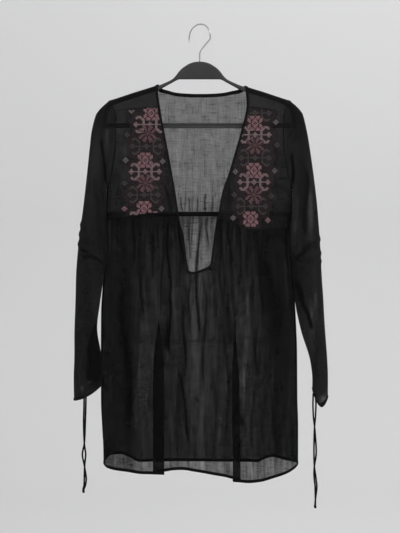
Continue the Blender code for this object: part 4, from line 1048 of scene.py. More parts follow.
def yoke_places(side, down, across):
    """Distance across and height on a front yoke at shares of its length and width."""
    outer_low = side * half_width(FRONT_SIDE_END, side)
    inner_low = edge_x_at(side, FRONT_SIDE_END)
    outer_top = side * armhole(SEAM_AT_ARMHOLE)
    inner_top = edge_x_at(side, NECK_SEAM_TOP)
    start = forward_seam(np.abs(mix(outer_top, inner_top, across)))
    end = front_seam(mix(outer_low, inner_low, across))
    z = mix(start, end, down)
    return mix(side * half_width(z, side), edge_x_at(side, z), across), z


def front_yoke(side, word):
    """Front yoke with the folded seams at its lower edge and at the shoulder."""
    down = np.linspace(0, 1, YOKE_ROWS)[:, None]
    across = np.linspace(0, 1, YOKE_COLUMNS)[None]
    x, z = yoke_places(side, down, across)
    points, layers = on_front_yoke(x, z)
    layers = YOKE_FULLNESS + layers + patches(YOKE_PATCHES, x, z) \
        + YOKE_STREAKS * streaks(x, z, 4.0)
    # the lighter voile here carries painted light from above
    yoke = cloth_piece("front_yoke_" + word, points, flat_places(x, z), layers, TOP_LIT_SHEER)

    line = np.linspace(0, 1, SEAM_COLUMNS)
    for name, end, above, below in (("front_yoke_" + word + "_seam", 1.0, SEAM_WIDTH, 0.0),
                                    ("shoulder_" + word + "_seam", 0.0, 0.0, NARROW_SEAM)):
        x, z = yoke_places(side, np.full(SEAM_COLUMNS, end), line)
        upper, lower = (on_front_yoke(x, height, -SEAM_DEPTH)[0]
                        for height in (z + above, z - below))
        seam_strip(name, upper, lower)


# Cross stitch: charts listed one by one, the upper left quarter of each motif with its middle
# row and column, read out to all four

ROSE = (
    "..XXXX.",
    "..XXXX.",
    "XX.XX.X",
    "XXX..XX",
    "XXX.XXX",
    ".XX.XX.",
    "...XX.X",
)
BLOOM = (
    "....XX..",
    "...XXX..",
    "...XXXX.",
    "XX..XXX.",
    "XXX..XX.",
    ".XXX..X.",
    "..XXXX.X",
    "......XX",
)
SCROLLS = (
    "...XXXX........",
    "..XXXXXX.......",
    "..XX..XXX......",
    ".......XXX.....",
    "........XX.....",
    "..X.....XX....X",
    ".XXX....XX...XX",
    "XXXXXXXXXXXXXXX",
)
BARE_SCROLLS = (
    "...XXX.........",
    "..XXXXX........",
    "..X...XX.......",
    ".......XX......",
    "........X......",
    "..X.....X.....X",
    ".XXX....X....XX",
    "XX.XXXXXX.XXXX.",
)
STAR = (
    "..X",
    ".XX",
    "XX.",
)
PITCH = 2.3                # one cross stitch
PINK = (0.36, 0.19, 0.21)
BEIGE = (0.32, 0.22, 0.22)
MAUVE = (0.185, 0.09, 0.105)
FADED = (0.075, 0.062, 0.062)
GREY = (0.22, 0.18, 0.18)
GROUND = (0.032, 0.010, 0.014)
MOTIFS_LEFT = (
    ("chart", "colour", "x", "z"),
    (ROSE, PINK, -97, -176), (SCROLLS, BEIGE, -99, -199), (BLOOM, MAUVE, -102.5, -219.5),
    (BARE_SCROLLS, FADED, -105.5, -243.5), (ROSE, PINK, -107, -271),
    (SCROLLS, BEIGE, -108.2, -294.5), (BLOOM, MAUVE, -108.6, -317),
    (BARE_SCROLLS, FADED, -109.5, -340.5), (ROSE, PINK, -109.6, -367),
    (SCROLLS, BEIGE, -110, -390), (STAR, GREY, -135.2, -172), (STAR, FADED, -144.4, -221.2),
    (STAR, GREY, -147.4, -271.2), (STAR, GREY, -73.8, -274.2), (STAR, FADED, -150.4, -318),
    (STAR, PINK, -148.4, -369), (STAR, GREY, -75.2, -367),
)
MOTIFS_RIGHT = (
    ("chart", "colour", "x", "z"),
    (BARE_SCROLLS, FADED, 110, -176), (ROSE, PINK, 110, -197), (SCROLLS, BEIGE, 110, -220.2),
    (BLOOM, MAUVE, 110, -241.5), (BARE_SCROLLS, FADED, 109.5, -266), (ROSE, PINK, 109, -292.6),
    (SCROLLS, BEIGE, 108, -316.2), (BLOOM, MAUVE, 107.5, -340.5), (BARE_SCROLLS, FADED, 103, -364),
    (ROSE, PINK, 100.8, -387.6), (STAR, GREY, 151.8, -194.6), (STAR, FADED, 153.8, -242.6),
    (STAR, GREY, 71.2, -293.6), (STAR, GREY, 148.8, -292.6), (STAR, FADED, 69.2, -339.6),
    (STAR, FADED, 141.6, -341.6), (STAR, GREY, 67.2, -385.6), (STAR, PINK, 135.4, -391.6),
)
GROUND_REACH = 3           # stitches of ground thread beside each motif
CLEAR = {"shoulder": 3.0, "seam": 2.4, "armhole": 5.0, "neck": 1.6}   # bare edges
CROSS_BAR = (0.46, 0.294)  # half length in pitches, and half width
GROUND_BAR = (0.5, 0.21)
BAR_FOOT = 0.15            # height over the cloth at its ends
BAR_ARCH = 0.5             # and how much higher its middle lies
UPPER_BAR = 0.35           # more for the bar that crosses over the other
BAR_ROUND = 0.45           # height of a bar's middle over its edges
BAR_FACES = [(a + i, a + i + 1, a + i + 4, a + i + 3) for a in (0, 3) for i in (0, 1)]
SHADES = (0.75, 1.25)      # of each stitch
SHADE_SEED = 7


def cells_of(chart):
    """Places of a motif's stitches from its middle, in stitches."""
    reach_x = len(chart[0]) - 1
    reach_z = len(chart) - 1
    quarter = [(reach_x - i, reach_z - j) for j, row in enumerate(chart)
               for i, mark in enumerate(row) if mark == "X"]
    return {(sx * i, sz * j) for i, j in quarter for sx in (-1, 1) for sz in (-1, 1)}


def embroidery(side, word, motifs):
    """Cross stitches of one yoke: two raised bars each, and thin ground threads behind."""
    stitches = {}
    ground = set()
    around = range(-GROUND_REACH, GROUND_REACH + 1)
    for motif in rows_of(motifs):
        for i, j in cells_of(motif["chart"]):
            key = (round(motif["x"] / PITCH) + i, round(motif["z"] / PITCH) + j)
            stitches[key] = motif["colour"]
            if motif["chart"] is not STAR:
                ground |= {(key[0] + a, key[1] + b) for a in around for b in around}
    ground -= set(stitches)
    x, z = np.array(sorted(stitches) + sorted(ground), float).T * PITCH
    colours = np.array([stitches[key] for key in sorted(stitches)] + [GROUND] * len(ground))
    crossed = np.arange(len(x)) < len(stitches)
    inside = (z > front_seam(x) + CLEAR["seam"]) \
        & (z < forward_seam(np.abs(x)) - CLEAR["shoulder"]) \
        & (np.abs(x) < half_width(z, side) - CLEAR["armhole"]) \
        & (side * (x - edge_x_at(side, z)) > CLEAR["neck"])
    x, z, colours, crossed = x[inside], z[inside], colours[inside], crossed[inside]
    random = np.random.default_rng(SHADE_SEED + side)
    colours = colours * random.uniform(*SHADES, len(x))[:, None]
    bars, tints = [], []
    for lean, chosen, lift in ((1, np.ones(len(x), bool), 0.0), (-1, crossed, UPPER_BAR)):
        half, wide = (np.where(crossed[chosen], *sizes) for sizes in zip(CROSS_BAR, GROUND_BAR))
        points = []
        for way in (-1.0, 0.0, 1.0):
            run = way * half * PITCH
            high = BAR_FOOT + (BAR_ARCH + lift) * (1 - way * way)
            for edge, up in ((-1, 0.0), (0, BAR_ROUND), (1, 0.0)):
                points.append(on_front_yoke(x[chosen] + run + edge * wide,
                                            z[chosen] + (run - edge * wide) * lean,
                                            high + up)[0])
        bars.append(np.stack(points, axis=1))
        tints.append(colours[chosen])
    data = mesh_of_many("embroidery_" + word, np.concatenate(bars), BAR_FACES)
    tint = np.repeat(np.concatenate(tints), 9, axis=0)
    layer = data.color_attributes.new("thread", "FLOAT_COLOR", "POINT")
    tint = np.column_stack([tint, np.ones(len(tint))]).astype(np.float32)
    layer.data.foreach_set("color", tint.ravel())
    add_piece(data.name, data, THREAD, "embroidery")


# Front skirt

LEVEL = -600.0
FOOT_LEFT = -486.0
FOOT_RIGHT = -478.0
SEAM_LEVEL_INNER = -384.0
SEAM_LEVEL_OUTER = -390.0
LEFT_DENSE = (-106.0, -56.0)
RIGHT_DENSE = (52.0, 92.0)
LEFT_COLUMNS = (80, 72, 30)        # beside, in and within the dense part
MIDDLE_COLUMNS = 40
RIGHT_COLUMNS = (26, 62, 84)
UPPER_ROWS = 56
LOWER_ROWS = 130
LEFT_GATHERS = 9
RIGHT_GATHERS = 10
BACK_GATHERS = 23
YOKE_GATHERS = 17
SKIRT_GATHER_HEIGHT = 2.0
YOKE_GATHER_HEIGHT = 1.7
SMALLER_GATHERS = (
    ("times", "height", "seed", "fades"),
    (2.7, 0.75, 1.3, 26.0), (1.7, 0.95, 2.6, 58.0),
)
SEAM_CLOSE = (0.5, 9.0)    # layers that the gathers add at a seam, and how far below it
TROUGH_CLOSE = 0.55        # and in each millimetre of a small and of a large trough
FOLD_CLOSE = 0.1
FRONT_STREAKS = 0.34       # layers, and how many more just below the seam
TOP_STREAKS = (0.3, 70.0)
BACK_STREAKS = 0.2
FRONT_FLAT = 1.35          # width of the flat cloth for each of the hanging cloth
HEM_STITCH_PLACE = 0.08    # share of the hem above its stitches


def overlap_shift(x, z):
    """Sideways and inward shift that folds the front over itself."""
    across = np.zeros_like(x)
    depth = np.zeros_like(x)
    for fold in rows_of(FRONT_OVERLAPS):
        way = np.clip((fold["top_z"] - z) / (fold["top_z"] - HEM), 0, 1)
        centre = mix(fold["centre_top"], fold["centre_low"], way)
        strength = ease((fold["top_z"] - z) / (fold["top_z"] - fold["full_z"]))
        turn = np.clip((x - centre) / fold["width"], -1.0, 1.0)
        across = across - strength * fold["width"] * np.sin(math.pi * turn)
        depth = depth + strength * fold["gap"] * np.sin(math.pi * turn)
    return across, depth


def gathered_cloth(share, count, below, height, seed):
    """Gathers of three sizes below a seam, and how closely the cloth lies there."""
    fine, middle = (gathers(share, count * size["times"], below, size["height"],
                            seed + size["seed"], size["fades"])
                    for size in rows_of(SMALLER_GATHERS))
    rise = gathers(share, count, below, height, seed) + fine + middle
    more, reach = SEAM_CLOSE
    close = more * np.exp(-below / reach) + TROUGH_CLOSE * np.maximum(-(fine + middle), 0)
    return rise, close + FOLD_CLOSE * np.maximum(-rise, 0)


def patches(table, x, z):
    """Layers of cloth that broad soft patches add."""
    layers = np.zeros(np.broadcast(x, z).shape)
    for spot in rows_of(table):
        away = ((x - spot["x"]) / spot["reach_x"])**2 + ((z - spot["z"]) / spot["reach_z"])**2
        layers = layers + spot["layers"] * np.exp(-away)
    return layers


STREAKS = (
    ("wave", "lean", "swing", "share"),
    (33.0, 0.030, 76.0, 1.0), (19.0, -0.022, 61.0, 0.9), (11.5, 0.014, 48.0, 0.9),
    (7.1, -0.018, 37.0, 0.8), (4.3, 0.012, 30.0, 0.6),
)


def streaks(x, z, seed):
    """Uneven upright streaks of hanging cloth, from -1 to 1."""
    total = np.zeros(np.broadcast(x, z).shape)
    for number, streak in enumerate(rows_of(STREAKS)):
        wave, swing = streak["wave"], streak["swing"]
        turn = seed + 1.7 * number
        drift = 0.4 * wave * np.sin(z / swing + turn) + streak["lean"] * z
        strength = 0.6 + 0.4 * np.sin(z / (1.7 * swing) + x / (3.1 * wave) + 2 * turn)
        upright = np.sin(2 * math.pi * (x + drift) / wave + turn)
        total = total + streak["share"] * strength * upright
    return total / 2.6


def front_surface(x, z, share, count, below):
    """Front skirt at places of the unfolded cloth, and the layers there."""
    rise, layers = creases(FRONT_CREASES, x, z)
    gathered, close = gathered_cloth(share, count, below, SKIRT_GATHER_HEIGHT, 0.4)
    rise = rise + gathered + fold_depth(FRONT_FOLDS, x, z)
    y = -half_depth(x, z) - SIDE_GAP - rise * settle(x, z)
    across, depth = overlap_shift(x, z)
    more, reach = TOP_STREAKS
    layers = layers + close + patches(FRONT_PATCHES, x, z) \
        + (FRONT_STREAKS + more * np.exp(-below / reach)) * streaks(x, z, 0.3)
    return np.stack(np.broadcast_arrays(x + across, y + depth, z), axis=-1), layers


def spaced(start, end, count, power=1.7):
    """Values from start to end, closer at the start."""
    return mix(start, end, np.linspace(0, 1, count) ** power)


class FrontPlaces:
    """Columns of the front skirt: where each starts, turns at the opening's foot and ends."""

    def __init__(self):
        left_edge = -half_width(LEVEL, -1)
        right_edge = half_width(LEVEL, 1)
        v_left = edge_x_at(-1, FOOT_LEFT)
        v_right = edge_x_at(1, FOOT_RIGHT)
        outer, dense, inner = LEFT_COLUMNS
        left = np.concatenate([spaced(left_edge, LEFT_DENSE[0], outer)[:-1],
                               np.linspace(*LEFT_DENSE, dense)[:-1],
                               np.linspace(LEFT_DENSE[1], v_left, inner)])
        middle = np.linspace(v_left, v_right, MIDDLE_COLUMNS)[1:-1]
        inner, dense, outer = RIGHT_COLUMNS
        right = np.concatenate([np.linspace(v_right, RIGHT_DENSE[0], inner)[:-1],
                                np.linspace(*RIGHT_DENSE, dense)[:-1],
                                spaced(right_edge, RIGHT_DENSE[1], outer)[::-1]])
        self.level = np.concatenate([left, middle, right])
        order = np.arange(len(self.level))
        self.is_left = order < len(left)
        self.under = (order >= len(left)) & (order < len(left) + len(middle))
        self.inner = np.where(self.is_left, left[-1], right[0])
        edge = np.where(self.is_left, left_edge, right_edge)
        self.share = (self.level - self.inner) / (edge - self.inner)
        self.count = np.where(self.is_left, LEFT_GATHERS, RIGHT_GATHERS)
        inner_x = self.sided(lambda side: edge_x_at(side, SEAM_LEVEL_INNER))
        outer_x = self.sided(lambda side: side * half_width(SEAM_LEVEL_OUTER, side))
        seam_x = mix(inner_x, outer_x, self.share)
        self.top = front_seam(seam_x)
        corner = {-1: panel_edge[neck_station(FOOT_ROW_LEFT - 0.5)],
                  1: panel_edge[neck_station(FOOT_ROW_RIGHT + 0.5)]}
        self.turn = self.sided(lambda side: height_of(*corner[side][:2]))
        low = np.abs(panel_edge[:, 1]) > abs(panel_edge[CORNER_RIGHT, 1]) - 3
        order = np.argsort(panel_edge[low, 0])
        foot_x = panel_edge[low, 0][order]
        foot_z = height_of(foot_x, panel_edge[low, 1][order])
        self.turn = np.where(self.under, np.interp(self.level, foot_x, foot_z), self.turn)
        flare = self.sided(lambda side: half_width(HEM, side) / half_width(LEVEL, side))
        self.bottom = front_hem(self.level * flare)

    def sided(self, read):
        """Value for each column from a function of its side."""
        return np.where(self.is_left, read(-1), read(1))

    def surface(self, z, upper):
        """Places at heights z, a row for each height and column."""
        edge = self.sided(lambda side: side * half_width(z, side))
        neck_x = self.sided(lambda side: edge_x_at(side, z))
        x = np.where(upper, mix(neck_x, edge, self.share), mix(self.inner, edge, self.share))
        x = np.where(self.under, self.level, x)
        x = np.where(self.under & upper & (z > self.turn + 0.01), np.nan, x)
        points, layers = front_surface(x, z, np.abs(self.share), self.count, self.top - z)
        return points, FRONT_FULLNESS + layers


def rolled_hem(face, word, above, low):
    """Narrow rolled hem between two lines, with a row of stitches on its outside."""
    seam_strip(word + "_hem", above, low)
    sewn_line(word + "_hem_stitches", above - (above - low) * HEM_STITCH_PLACE,
              np.array((0.0, face * FOLDED_HALF, 0.0)))


def front_skirt():
    """Lower front in one piece, down from the yoke seams and the opening's foot."""
    place = FrontPlaces()
    down = np.linspace(0, 1, UPPER_ROWS)[:, None]
    upper_points, upper_layers = place.surface(mix(place.top, place.turn, down), True)
    down = np.linspace(0, 1, LOWER_ROWS + 1)[1:, None]
    lower_points, lower_layers = place.surface(mix(place.turn, place.bottom, down), False)
    points = np.concatenate([upper_points, lower_points])
    layers = np.concatenate([upper_layers, lower_layers])
    flat = flat_places(place.level[None] * FRONT_FLAT, points[..., 2])
    skirt = cloth_piece("front_skirt", points, flat, layers, SHEER)
    low, above = (place.surface(place.bottom[None] + up, False)[0][0] for up in (0.0, HEM_WIDTH))
    rolled_hem(-1, "front", above, low)


# Back

OUTER_COLUMNS = 60
INNER_COLUMNS = 110
BACK_COLUMNS = 330
BACK_ROWS = 170
WRAP_ROWS = 15             # over the shoulders
SHOULDER_ROWS = 14         # from there to the forward seams
DOWN_ROWS = 120
GATHER_LIMIT = 150.0       # above the band
BACK_YOKE_LAYERS = 0.93
SHOULDER_LAYERS = 0.45     # more in front of the ridge
GATHERED_LAYERS = 0.6
BAND_COLUMNS = 160
BAND_WAVE = (0.35, 61.0)
BAND_STITCHES = (("upper", 0.12), ("lower", 0.88))
BACK_FLAT = 520.0
EDGE_SPACING = 1.35        # above 1: columns closer at the side seams
ROW_SPACING = 1.25         # and rows closer at the band


def share_across(x, z):
    """Share of the way from the left side to the right."""
    return (x + half_width(z, -1)) / (half_width(z, -1) + half_width(z, 1))


def band_gathers(x, z, low):
    """Gathers of the back yoke above the band, and how closely the cloth lies there."""
    return gathered_cloth(share_across(x, z), YOKE_GATHERS, z - low, YOKE_GATHER_HEIGHT, 1.0)


def back_yoke():
    """Back yoke in one, from the forward seams over the shoulders to the band."""
    low = BAND_TOP - TUCK
    start_drop = RIDGE_RADIUS + NECK_CORNER_DROP
    corners = {side: edge_x(side, QUARTER_TURN + NECK_CORNER_DROP) for side in (-1, 1)}
    wraps = np.append(np.linspace(-1, 1, WRAP_ROWS), 1.0 + 0.5 * NECK_CORNER_DROP / QUARTER_TURN)
    front_rows = np.linspace(0, 1, SHOULDER_ROWS)[:-1]
    downs = np.linspace(0, 1, DOWN_ROWS)[:, None]
    across = np.linspace(0, 1, OUTER_COLUMNS)[None]
    grids = []
    for side in (-1, 1):
        seam_x = mix(side * armhole(SEAM_AT_ARMHOLE), edge_x_at(side, NECK_SEAM_TOP), across)
        seam_path = path_of(seam_x, forward_seam(np.abs(seam_x)), -1)
        path = np.concatenate([mix(seam_path, -QUARTER_TURN, front_rows[:, None]),
                               np.repeat(wraps[:, None] * QUARTER_TURN, OUTER_COLUMNS, axis=1)])
        outer = side * armhole_at_path(np.abs(path))
        wrapped = on_ridge(mix(outer, edge_x(side, path), across), path)
        start_x = mix(side * armhole(SHOULDER_TIP - start_drop), corners[side], across)
        z = mix(ridge(start_x) - start_drop, low, downs)
        x = mix(side * half_width(z, side), corners[side], across)
        shoulder = np.concatenate([wrapped, back_yoke_points(x, z, low)])
        grids.append(shoulder if side < 0 else shoulder[:, ::-1])
    inner_x = np.linspace(corners[-1], corners[1], INNER_COLUMNS)[None, 1:-1]
    part = panel_edge[neck_station(RIDGE_ROWS[0] + 1):neck_station(RIDGE_ROWS[1] - 1) + 1]
    start = height_of(inner_x, np.interp(inner_x, part[:, 0], part[:, 1]))
    z = mix(start, low, downs)
    middle = back_yoke_points(inner_x + np.zeros_like(z), z, low)
    empty = np.full((len(wraps) + len(front_rows), middle.shape[1], 3), np.nan)
    points = np.concatenate([grids[0], np.concatenate([empty, middle]), grids[1]], axis=1)
    x, z = points[..., 0], points[..., 2]
    over = points[..., 1] < 0
    layers = creases(BACK_YOKE_CREASES, x, z)[1] + GATHERED_LAYERS * band_gathers(x, z, low)[1]
    layers = BACK_YOKE_LAYERS + np.where(over, SHOULDER_LAYERS, layers)
    flat = flat_places(x, np.where(over, -100.0 - z, z))
    # the lighter voile here carries painted light from above
    yoke = cloth_piece("back_yoke", points, flat, layers, TOP_LIT_SHEER)


def back_yoke_points(x, z, low):
    """Places of the back yoke behind the shoulders."""
    gathered = np.where(z - low < GATHER_LIMIT, band_gathers(x, z, low)[0], 0.0)
    rise = gathered + creases(BACK_YOKE_CREASES, x, z)[0]
    y = half_depth(x, z) + SIDE_GAP + rise * settle(x, z)
    return np.stack([x, y, z], axis=-1)


def across_at(share, z):
    """Place across at a share of the way from the left side to the right."""
    return mix(-half_width(z, -1), half_width(z, 1), share)


def back_shares(count):
    """Shares from one side seam to the other, closer at the seams."""
    way = np.linspace(-1, 1, count)
    return 0.5 + 0.5 * np.sign(way) * (1 - (1 - np.abs(way)) ** EDGE_SPACING)


def back_band():
    """Band between the back yoke and the lower back, with its two rows of stitches."""
    shares = back_shares(BAND_COLUMNS)
    height, turns = BAND_WAVE
    lines = []
    for z in (BAND_TOP, BAND_TOP - BAND_HEIGHT):
        x = across_at(shares, z)
        wave = height * np.sin(shares * turns + z) * settle(x, z)
        lines.append(np.stack([x, half_depth(x, z) + SIDE_GAP + BINDING_HALF * 0.4 + wave,
                               np.full_like(x, z)], axis=-1))
    folded_strip("back_band_cloth", *lines, BINDING_HALF, TRIM, "trim", "back_band")
    for word, share in BAND_STITCHES:
        sewn_line("back_band_stitches_" + word, mix(*lines, share),
                  np.array((0.0, BINDING_HALF * 0.8, 0.0)))


def back_surface(shares, z, top):
    """Lower back at shares of its width, and the layers there."""
    x = mix(-side_left(z), side_right(z), shares)
    creased, layers = creases(BACK_CREASES, x, z)
    gathered, close = gathered_cloth(shares + 0 * z, BACK_GATHERS, top - z,
                                     SKIRT_GATHER_HEIGHT, 2.0)
    rise = creased + gathered + fold_depth(BACK_FOLDS, x, z)
    y = half_depth(x, z) + SIDE_GAP + rise * settle(x, z)
    layers = layers + close + patches(BACK_PATCHES, x, z) + BACK_STREAKS * streaks(x, z, 2.1)
    return np.stack([x, y, z + 0 * x], axis=-1), BACK_FULLNESS + layers


def back_skirt():
    """Lower back, gathered into the band."""
    shares = back_shares(BACK_COLUMNS)[None]
    top = BAND_TOP - BAND_HEIGHT + TUCK
    bottom = back_hem(across_at(shares, HEM))
    z = mix(top, bottom, np.linspace(0, 1, BACK_ROWS)[:, None] ** ROW_SPACING)
    points, layers = back_surface(shares, z, top)
    skirt = cloth_piece("back_skirt", points, flat_places(shares * BACK_FLAT, z), layers, SHEER)
    low, above = (back_surface(shares, bottom + up, top)[0][0] for up in (0.0, HEM_WIDTH))
    rolled_hem(1, "back", above, low)


# Neck binding and side seams

BINDING_STITCH_PLACE = 0.82
UNDERARM_FILLS = ((0.8, 2.2, 2.4), (0.4, 7.0, 3.5))   # widening, how far down, reach


def neck_binding():
    """Bias binding all round the neck, with its row of stitches."""
    inner = moved_in(neck, neck[:, 2])
    outer_line = on_ridge(neck[:, 0], neck[:, 1], BINDING_LIFT)
    inner_line = on_ridge(inner[:, 0], inner[:, 1], BINDING_LIFT)
    folded_strip("neck_binding_cloth", outer_line, inner_line, BINDING_HALF, TRIM, "trim",
                 "neck_binding", closed=True, sides=10)
    seam = mix(outer_line, inner_line, BINDING_STITCH_PLACE)
    away = np.zeros_like(seam)
    away[:, 1] = np.where(neck[:, 1] < 0, -1, 1) * BINDING_HALF * 0.75
    sewn_line("neck_binding_stitches", seam, away, closed=True)


def side_seams():
    """Folded seams down both sides, a little wider where the armholes close."""
    z = np.concatenate([np.linspace(UNDERARM + 5, UNDERARM - 18, 16),
                        np.linspace(UNDERARM - 24, HEM + 4, 88)])
    fill = sum(wide * np.exp(-((UNDERARM - down - z) / reach) ** 2)
               for wide, down, reach in UNDERARM_FILLS)
    for side, word in ((-1, "left"), (1, "right")):
        edge = side * (half_width(z, side) + fill)
        outer = np.stack([edge, np.zeros_like(z), z], axis=-1)
        inner = outer - np.array((side * SEAM_WIDTH, 0.0, 0.0))
        seam_strip("side_seam_" + word, outer, inner, FOLDED_HALF * 0.8)


# Sleeves, cuffs and their ties

ARMHOLE_LEVELS = (-160.8, -171.7, -192.0, -218.0, -250.0, -285.0, -310.0, UNDERARM)
TIP_TURNS = (0.5, 1.0)
AROUND = 2 * (len(TIP_TURNS) + len(ARMHOLE_LEVELS))
SLEEVE_STEPS = (0, 0.5, 1, 1.5, 2, 3, 4, 5, 6, 7, 8, 9, 10, 11, 12, 13)
SLEEVE_FINE_AROUND = 8
SLEEVE_FINE_DOWN = 14
SLEEVE_CARRY = 1.6         # table rows in which the armhole's ring becomes the sleeve's
CREASES_START = 2.5        # and in which its creases come in
CREASES_END = 0.5
SLEEVE_STREAKS = 0.18
SLEEVE_FLAT = (330.0, 600.0)
ARMHOLE_STRIP_DEPTH = 0.93
CUFF_OVERLAP = 1.0
CUFF_POINTS = 120
TIE_POINTS = 70


def armhole_ring(side):
    """Sleeve's first ring, just outside the yokes' armhole edge."""
    half = []
    for turn in (0.0, *TIP_TURNS):
        path = turn * QUARTER_TURN
        half.append(on_ridge(side * (armhole_at_path(path) + SLEEVE_GAP), path))
    for z in ARMHOLE_LEVELS[:-1]:
        x = side * (armhole(z) + SLEEVE_GAP)
        half.append(np.array((x, half_depth(side * armhole(z), z) + SIDE_GAP, z)))
    foot = np.array((side * (armhole(UNDERARM) + SLEEVE_GAP), 0.0, UNDERARM))
    front = [point * np.array((1.0, -1.0, 1.0)) for point in half[1:]]
    return np.array([half[0], *front, foot, *reversed(half[1:])])


def sleeve_section(table, step, ahead=0.0, count=AROUND):
    """Ring of the sleeve at a step of its table, moved down by a distance."""
    now = values_at(table, step)
    outer = np.array((now["outer_x"], now["outer_z"]))
    inner = np.array((now["inner_x"], now["inner_z"]))
    angle = 2 * math.pi * np.arange(count) / count
    place = (outer + inner) / 2 + (outer - inner) / 2 * np.cos(angle)[:, None]
    bulge = (1 - np.abs(np.cos(angle)) ** SLEEVE_SHAPE) ** (1 / SLEEVE_SHAPE)
    y = now["centre_y"] + np.where(angle < math.pi, -1, 1) * now["half_depth"] * bulge
    z = place[:, 1] - now["droop"] * np.sin(angle) ** 2 - ahead
    return np.stack([place[:, 0], y, z], axis=-1)


def sleeve_rings(table, side):
    """Rings of the sleeve from the armhole to the cuff."""
    first = armhole_ring(side)
    start = sleeve_section(table, 0)
    rings = [first]
    for step in SLEEVE_STEPS[1:]:
        section = sleeve_section(table, step)
        carried = first + (section.mean(axis=0) - start.mean(axis=0))
        rings.append(mix(carried, section, ease(step / SLEEVE_CARRY)))
    return np.array(rings)


def sleeve(table, side, word):
    """Sleeve with its creases, the folded seam of its armhole and its cuff."""
    rings = np.roll(sleeve_rings(table, side), -AROUND // 2, axis=1)
    grid = refined(refined(rings, SLEEVE_FINE_AROUND, 1, closed=True), SLEEVE_FINE_DOWN, 0)
    normal = normals_of(grid, closed=True)
    middle = grid.mean(axis=1, keepdims=True)
    if np.sum(normal * (grid - middle)) < 0:
        normal = -normal
    deep = np.abs(grid[..., 1] - middle[..., 1]).max(axis=1, keepdims=True)
    face = (grid[..., 1] - middle[..., 1]) / deep
    rise, layers = creases(SLEEVE_CREASES, grid[..., 0], grid[..., 2], face)
    rows = np.arange(len(grid))[:, None] / SLEEVE_FINE_DOWN
    ends = ease(rows / CREASES_START) * ease((len(rings) - 1 - rows) / CREASES_END)
    grid = grid + normal * (rise * ends)[..., None]
    grid, layers = (np.concatenate([values, values[:, :1]], axis=1) for values in (grid, layers))
    x, z = grid[..., 0], grid[..., 2]
    layers = SLEEVE_FULLNESS + layers + patches(SLEEVE_PATCHES, x, z)
    layers = layers + SLEEVE_STREAKS * streaks(x, z, 5.5 + side)
    flat = flat_places(np.linspace(0, SLEEVE_FLAT[0], grid.shape[1])[None],
                       np.linspace(0, SLEEVE_FLAT[1], grid.shape[0])[:, None])
    # the lighter voile here carries painted light from above
    piece = cloth_piece("sleeve_" + word, grid, flat, layers, TOP_LIT_SHEER)

    ring = refined(armhole_ring(side)[None], 6, 1, closed=True)[0]
    inward = ring - np.array((side * NARROW_SEAM, 0.0, 0.0))
    inward[:, 1] = ring[:, 1] * ARMHOLE_STRIP_DEPTH
    seam_strip("armhole_seam_" + word, ring, inward, closed=True)

    upper, lower = (sleeve_section(table, len(table) - 2, ahead, CUFF_POINTS)
                    for ahead in (CUFF_GAP - CUFF_OVERLAP, CUFF_BINDING))
    folded_strip("cuff_" + word + "_binding", upper, lower, BINDING_HALF, TRIM, "trim",
                 "cuff_" + word, closed=True)


def tie_route(table, which):
    """Middle line of one of a pair of twisted ties."""
    now = values_at(table, np.linspace(0, len(table) - 2, TIE_POINTS))
    angle = np.radians(now["twist"])
    x = now["x"] + which * now["half_gap"] * np.cos(angle)
    y = now["y"] + which * now["half_gap"] * np.sin(angle)
    return np.stack([x, y, now["z"]], axis=1)


def wire(name, route, diameter, material, slot, *replaced, resolution=4):
    """Round bent wire or cord along a route."""
    data = bpy.data.curves.new(name, "CURVE")
    data.dimensions = "3D"
    data.bevel_depth = diameter / 2 * MM
    data.bevel_resolution = resolution
    data.use_fill_caps = True
    spline = data.splines.new("POLY")
    spline.points.add(len(route) - 1)
    for point, place in zip(spline.points, route):
        point.co = (*(place * MM), 1.0)
    return add_piece(name, data, material, slot, *replaced)


KNOT_SIZE = (2.9, 2.7, 3.6)
KNOT_CORD = 2.2
KNOT_DEPTH = 1.6


def knot(table, word):
    """Small knot of the two ties: a trefoil of cord drawn tight."""
    foot = np.array([column(table, key)[-1] for key in ("x", "y", "z")])
    centre = foot - np.array((0.0, 0.0, KNOT_SIZE[2]))
    t = np.linspace(0, 2 * math.pi, 64, endpoint=False)
    loop = np.stack([np.sin(t) + 2 * np.sin(2 * t), np.cos(t) - 2 * np.cos(2 * t),
                     -KNOT_DEPTH * np.sin(3 * t)], axis=1)
    reach = np.array(KNOT_SIZE) - KNOT_CORD / 2
    route = centre + loop / np.array((3.0, 3.0, KNOT_DEPTH)) * reach
    route = np.concatenate([route, route[:1]])
    return wire("knot_" + word + "_cord", route, KNOT_CORD, CORD, "trim", "knot_" + word,
                resolution=3)


def ties(table, word):
    """The two twisted ties of a cuff and the knot that ends them."""
    tied = knot(table, word)
    for which, letter in ((-1, "a"), (1, "b")):
        route = tie_route(table, which)
        name = "tie_" + word + "_" + letter
        piece = wire(name + "_cord", route, TIE_DIAMETER, CORD, "trim", name)


# Hanger

def rounded_section(outer, inner, steps=6):
    """Ring of a rounded bar between an outer and an inner edge."""
    middle = (outer + inner) / 2
    reach = np.linalg.norm(outer - inner) / 2
    away = (outer - inner) / (2 * reach)
    radius = min(HANGER_CORNER, reach * 0.98)
    depth = HANGER_DEPTH / 2
    ring = []
    for quarter, (along, side) in enumerate(((1, 1), (-1, 1), (-1, -1), (1, -1))):
        for step in range(steps):
            angle = math.radians(90 * (quarter + step / (steps - 1)))
            height = along * (reach - radius) + radius * math.cos(angle)
            place = middle + away * height
            ring.append((place[0], side * (depth - radius) + radius * math.sin(angle), place[1]))
    return ring


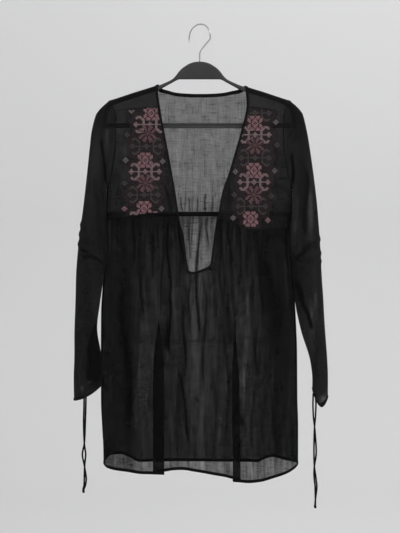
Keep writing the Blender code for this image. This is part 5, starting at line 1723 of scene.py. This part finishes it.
def hanger_body():
    """Moulded hanger with sloping shoulders and down-turned ends."""
    half = np.array(HANGER_SECTIONS[1:], float)
    mirrored = half[1:][::-1] * np.array((-1, 1, -1, 1))
    rows = refined(np.concatenate([mirrored, half]), 6, 0)
    rings = np.array([rounded_section(row[:2], row[2:]) for row in rows])
    skinned("hanger_body_moulding", rings, PLASTIC, "hanger_plastic", "hanger_body")


def hanger_bar():
    """Grooved trouser bar with softened edges."""
    half = BAR_DEPTH / 2
    waist = half - BAR_GROOVE
    upper = BAR_TOP - BAR_LIP
    lower = BAR_BOTTOM + BAR_LIP
    soft = BAR_SOFT
    right = [(half - soft, BAR_TOP), (half, BAR_TOP - soft), (half, upper + soft),
             (half - soft / 2, upper), (waist, upper - 1), (waist, lower + 1),
             (half - soft / 2, lower), (half, lower - soft), (half, BAR_BOTTOM + soft),
             (half - soft, BAR_BOTTOM)]
    outline = right + [(-y, z) for y, z in right[::-1]]
    reach = HANGER_SECTIONS[-1][2] - BAR_END_GAP
    rings = np.array([[(x, y, z) for y, z in outline] for x in np.linspace(-reach, reach, 9)])
    skinned("hanger_bar_moulding", rings, PLASTIC, "hanger_plastic", "hanger_bar")


HOOK_NECK = (
    ("across", "height"),
    (0.0, -62.0), (0.4, -57.0), (2.6, -52.4), (6.6, -47.6), (14.2, -40.6),
)


def hanger_hook():
    """Chrome wire hook, turned about its upright stem."""
    centre = -HOOK_RADIUS + WIRE_DIAMETER / 2
    line = [(0.0, HANGER_SECTIONS[1][1]), *HOOK_NECK[1:]]
    for angle in np.radians(np.linspace(HOOK_START, HOOK_END, 18)):
        line.append((HOOK_RADIUS * math.cos(angle), centre + HOOK_RADIUS * math.sin(angle)))
    turn = math.radians(HOOK_TURN)
    path = np.array([(x * math.cos(turn), -x * math.sin(turn), z) for x, z in line])
    wire("hanger_hook_wire", refined(path, 5, 0), WIRE_DIAMETER, CHROME, "hook_chrome",
         "hanger_hook", resolution=6)


camera_and_studio()
hanger_body()
hanger_bar()
hanger_hook()
front_yoke(-1, "left")
front_yoke(1, "right")
embroidery(-1, "left", MOTIFS_LEFT)
embroidery(1, "right", MOTIFS_RIGHT)
front_skirt()
back_yoke()
back_band()
back_skirt()
neck_binding()
side_seams()
sleeve(SLEEVE_LEFT, -1, "left")
sleeve(SLEEVE_RIGHT, 1, "right")
ties(TIES_LEFT, "left")
ties(TIES_RIGHT, "right")
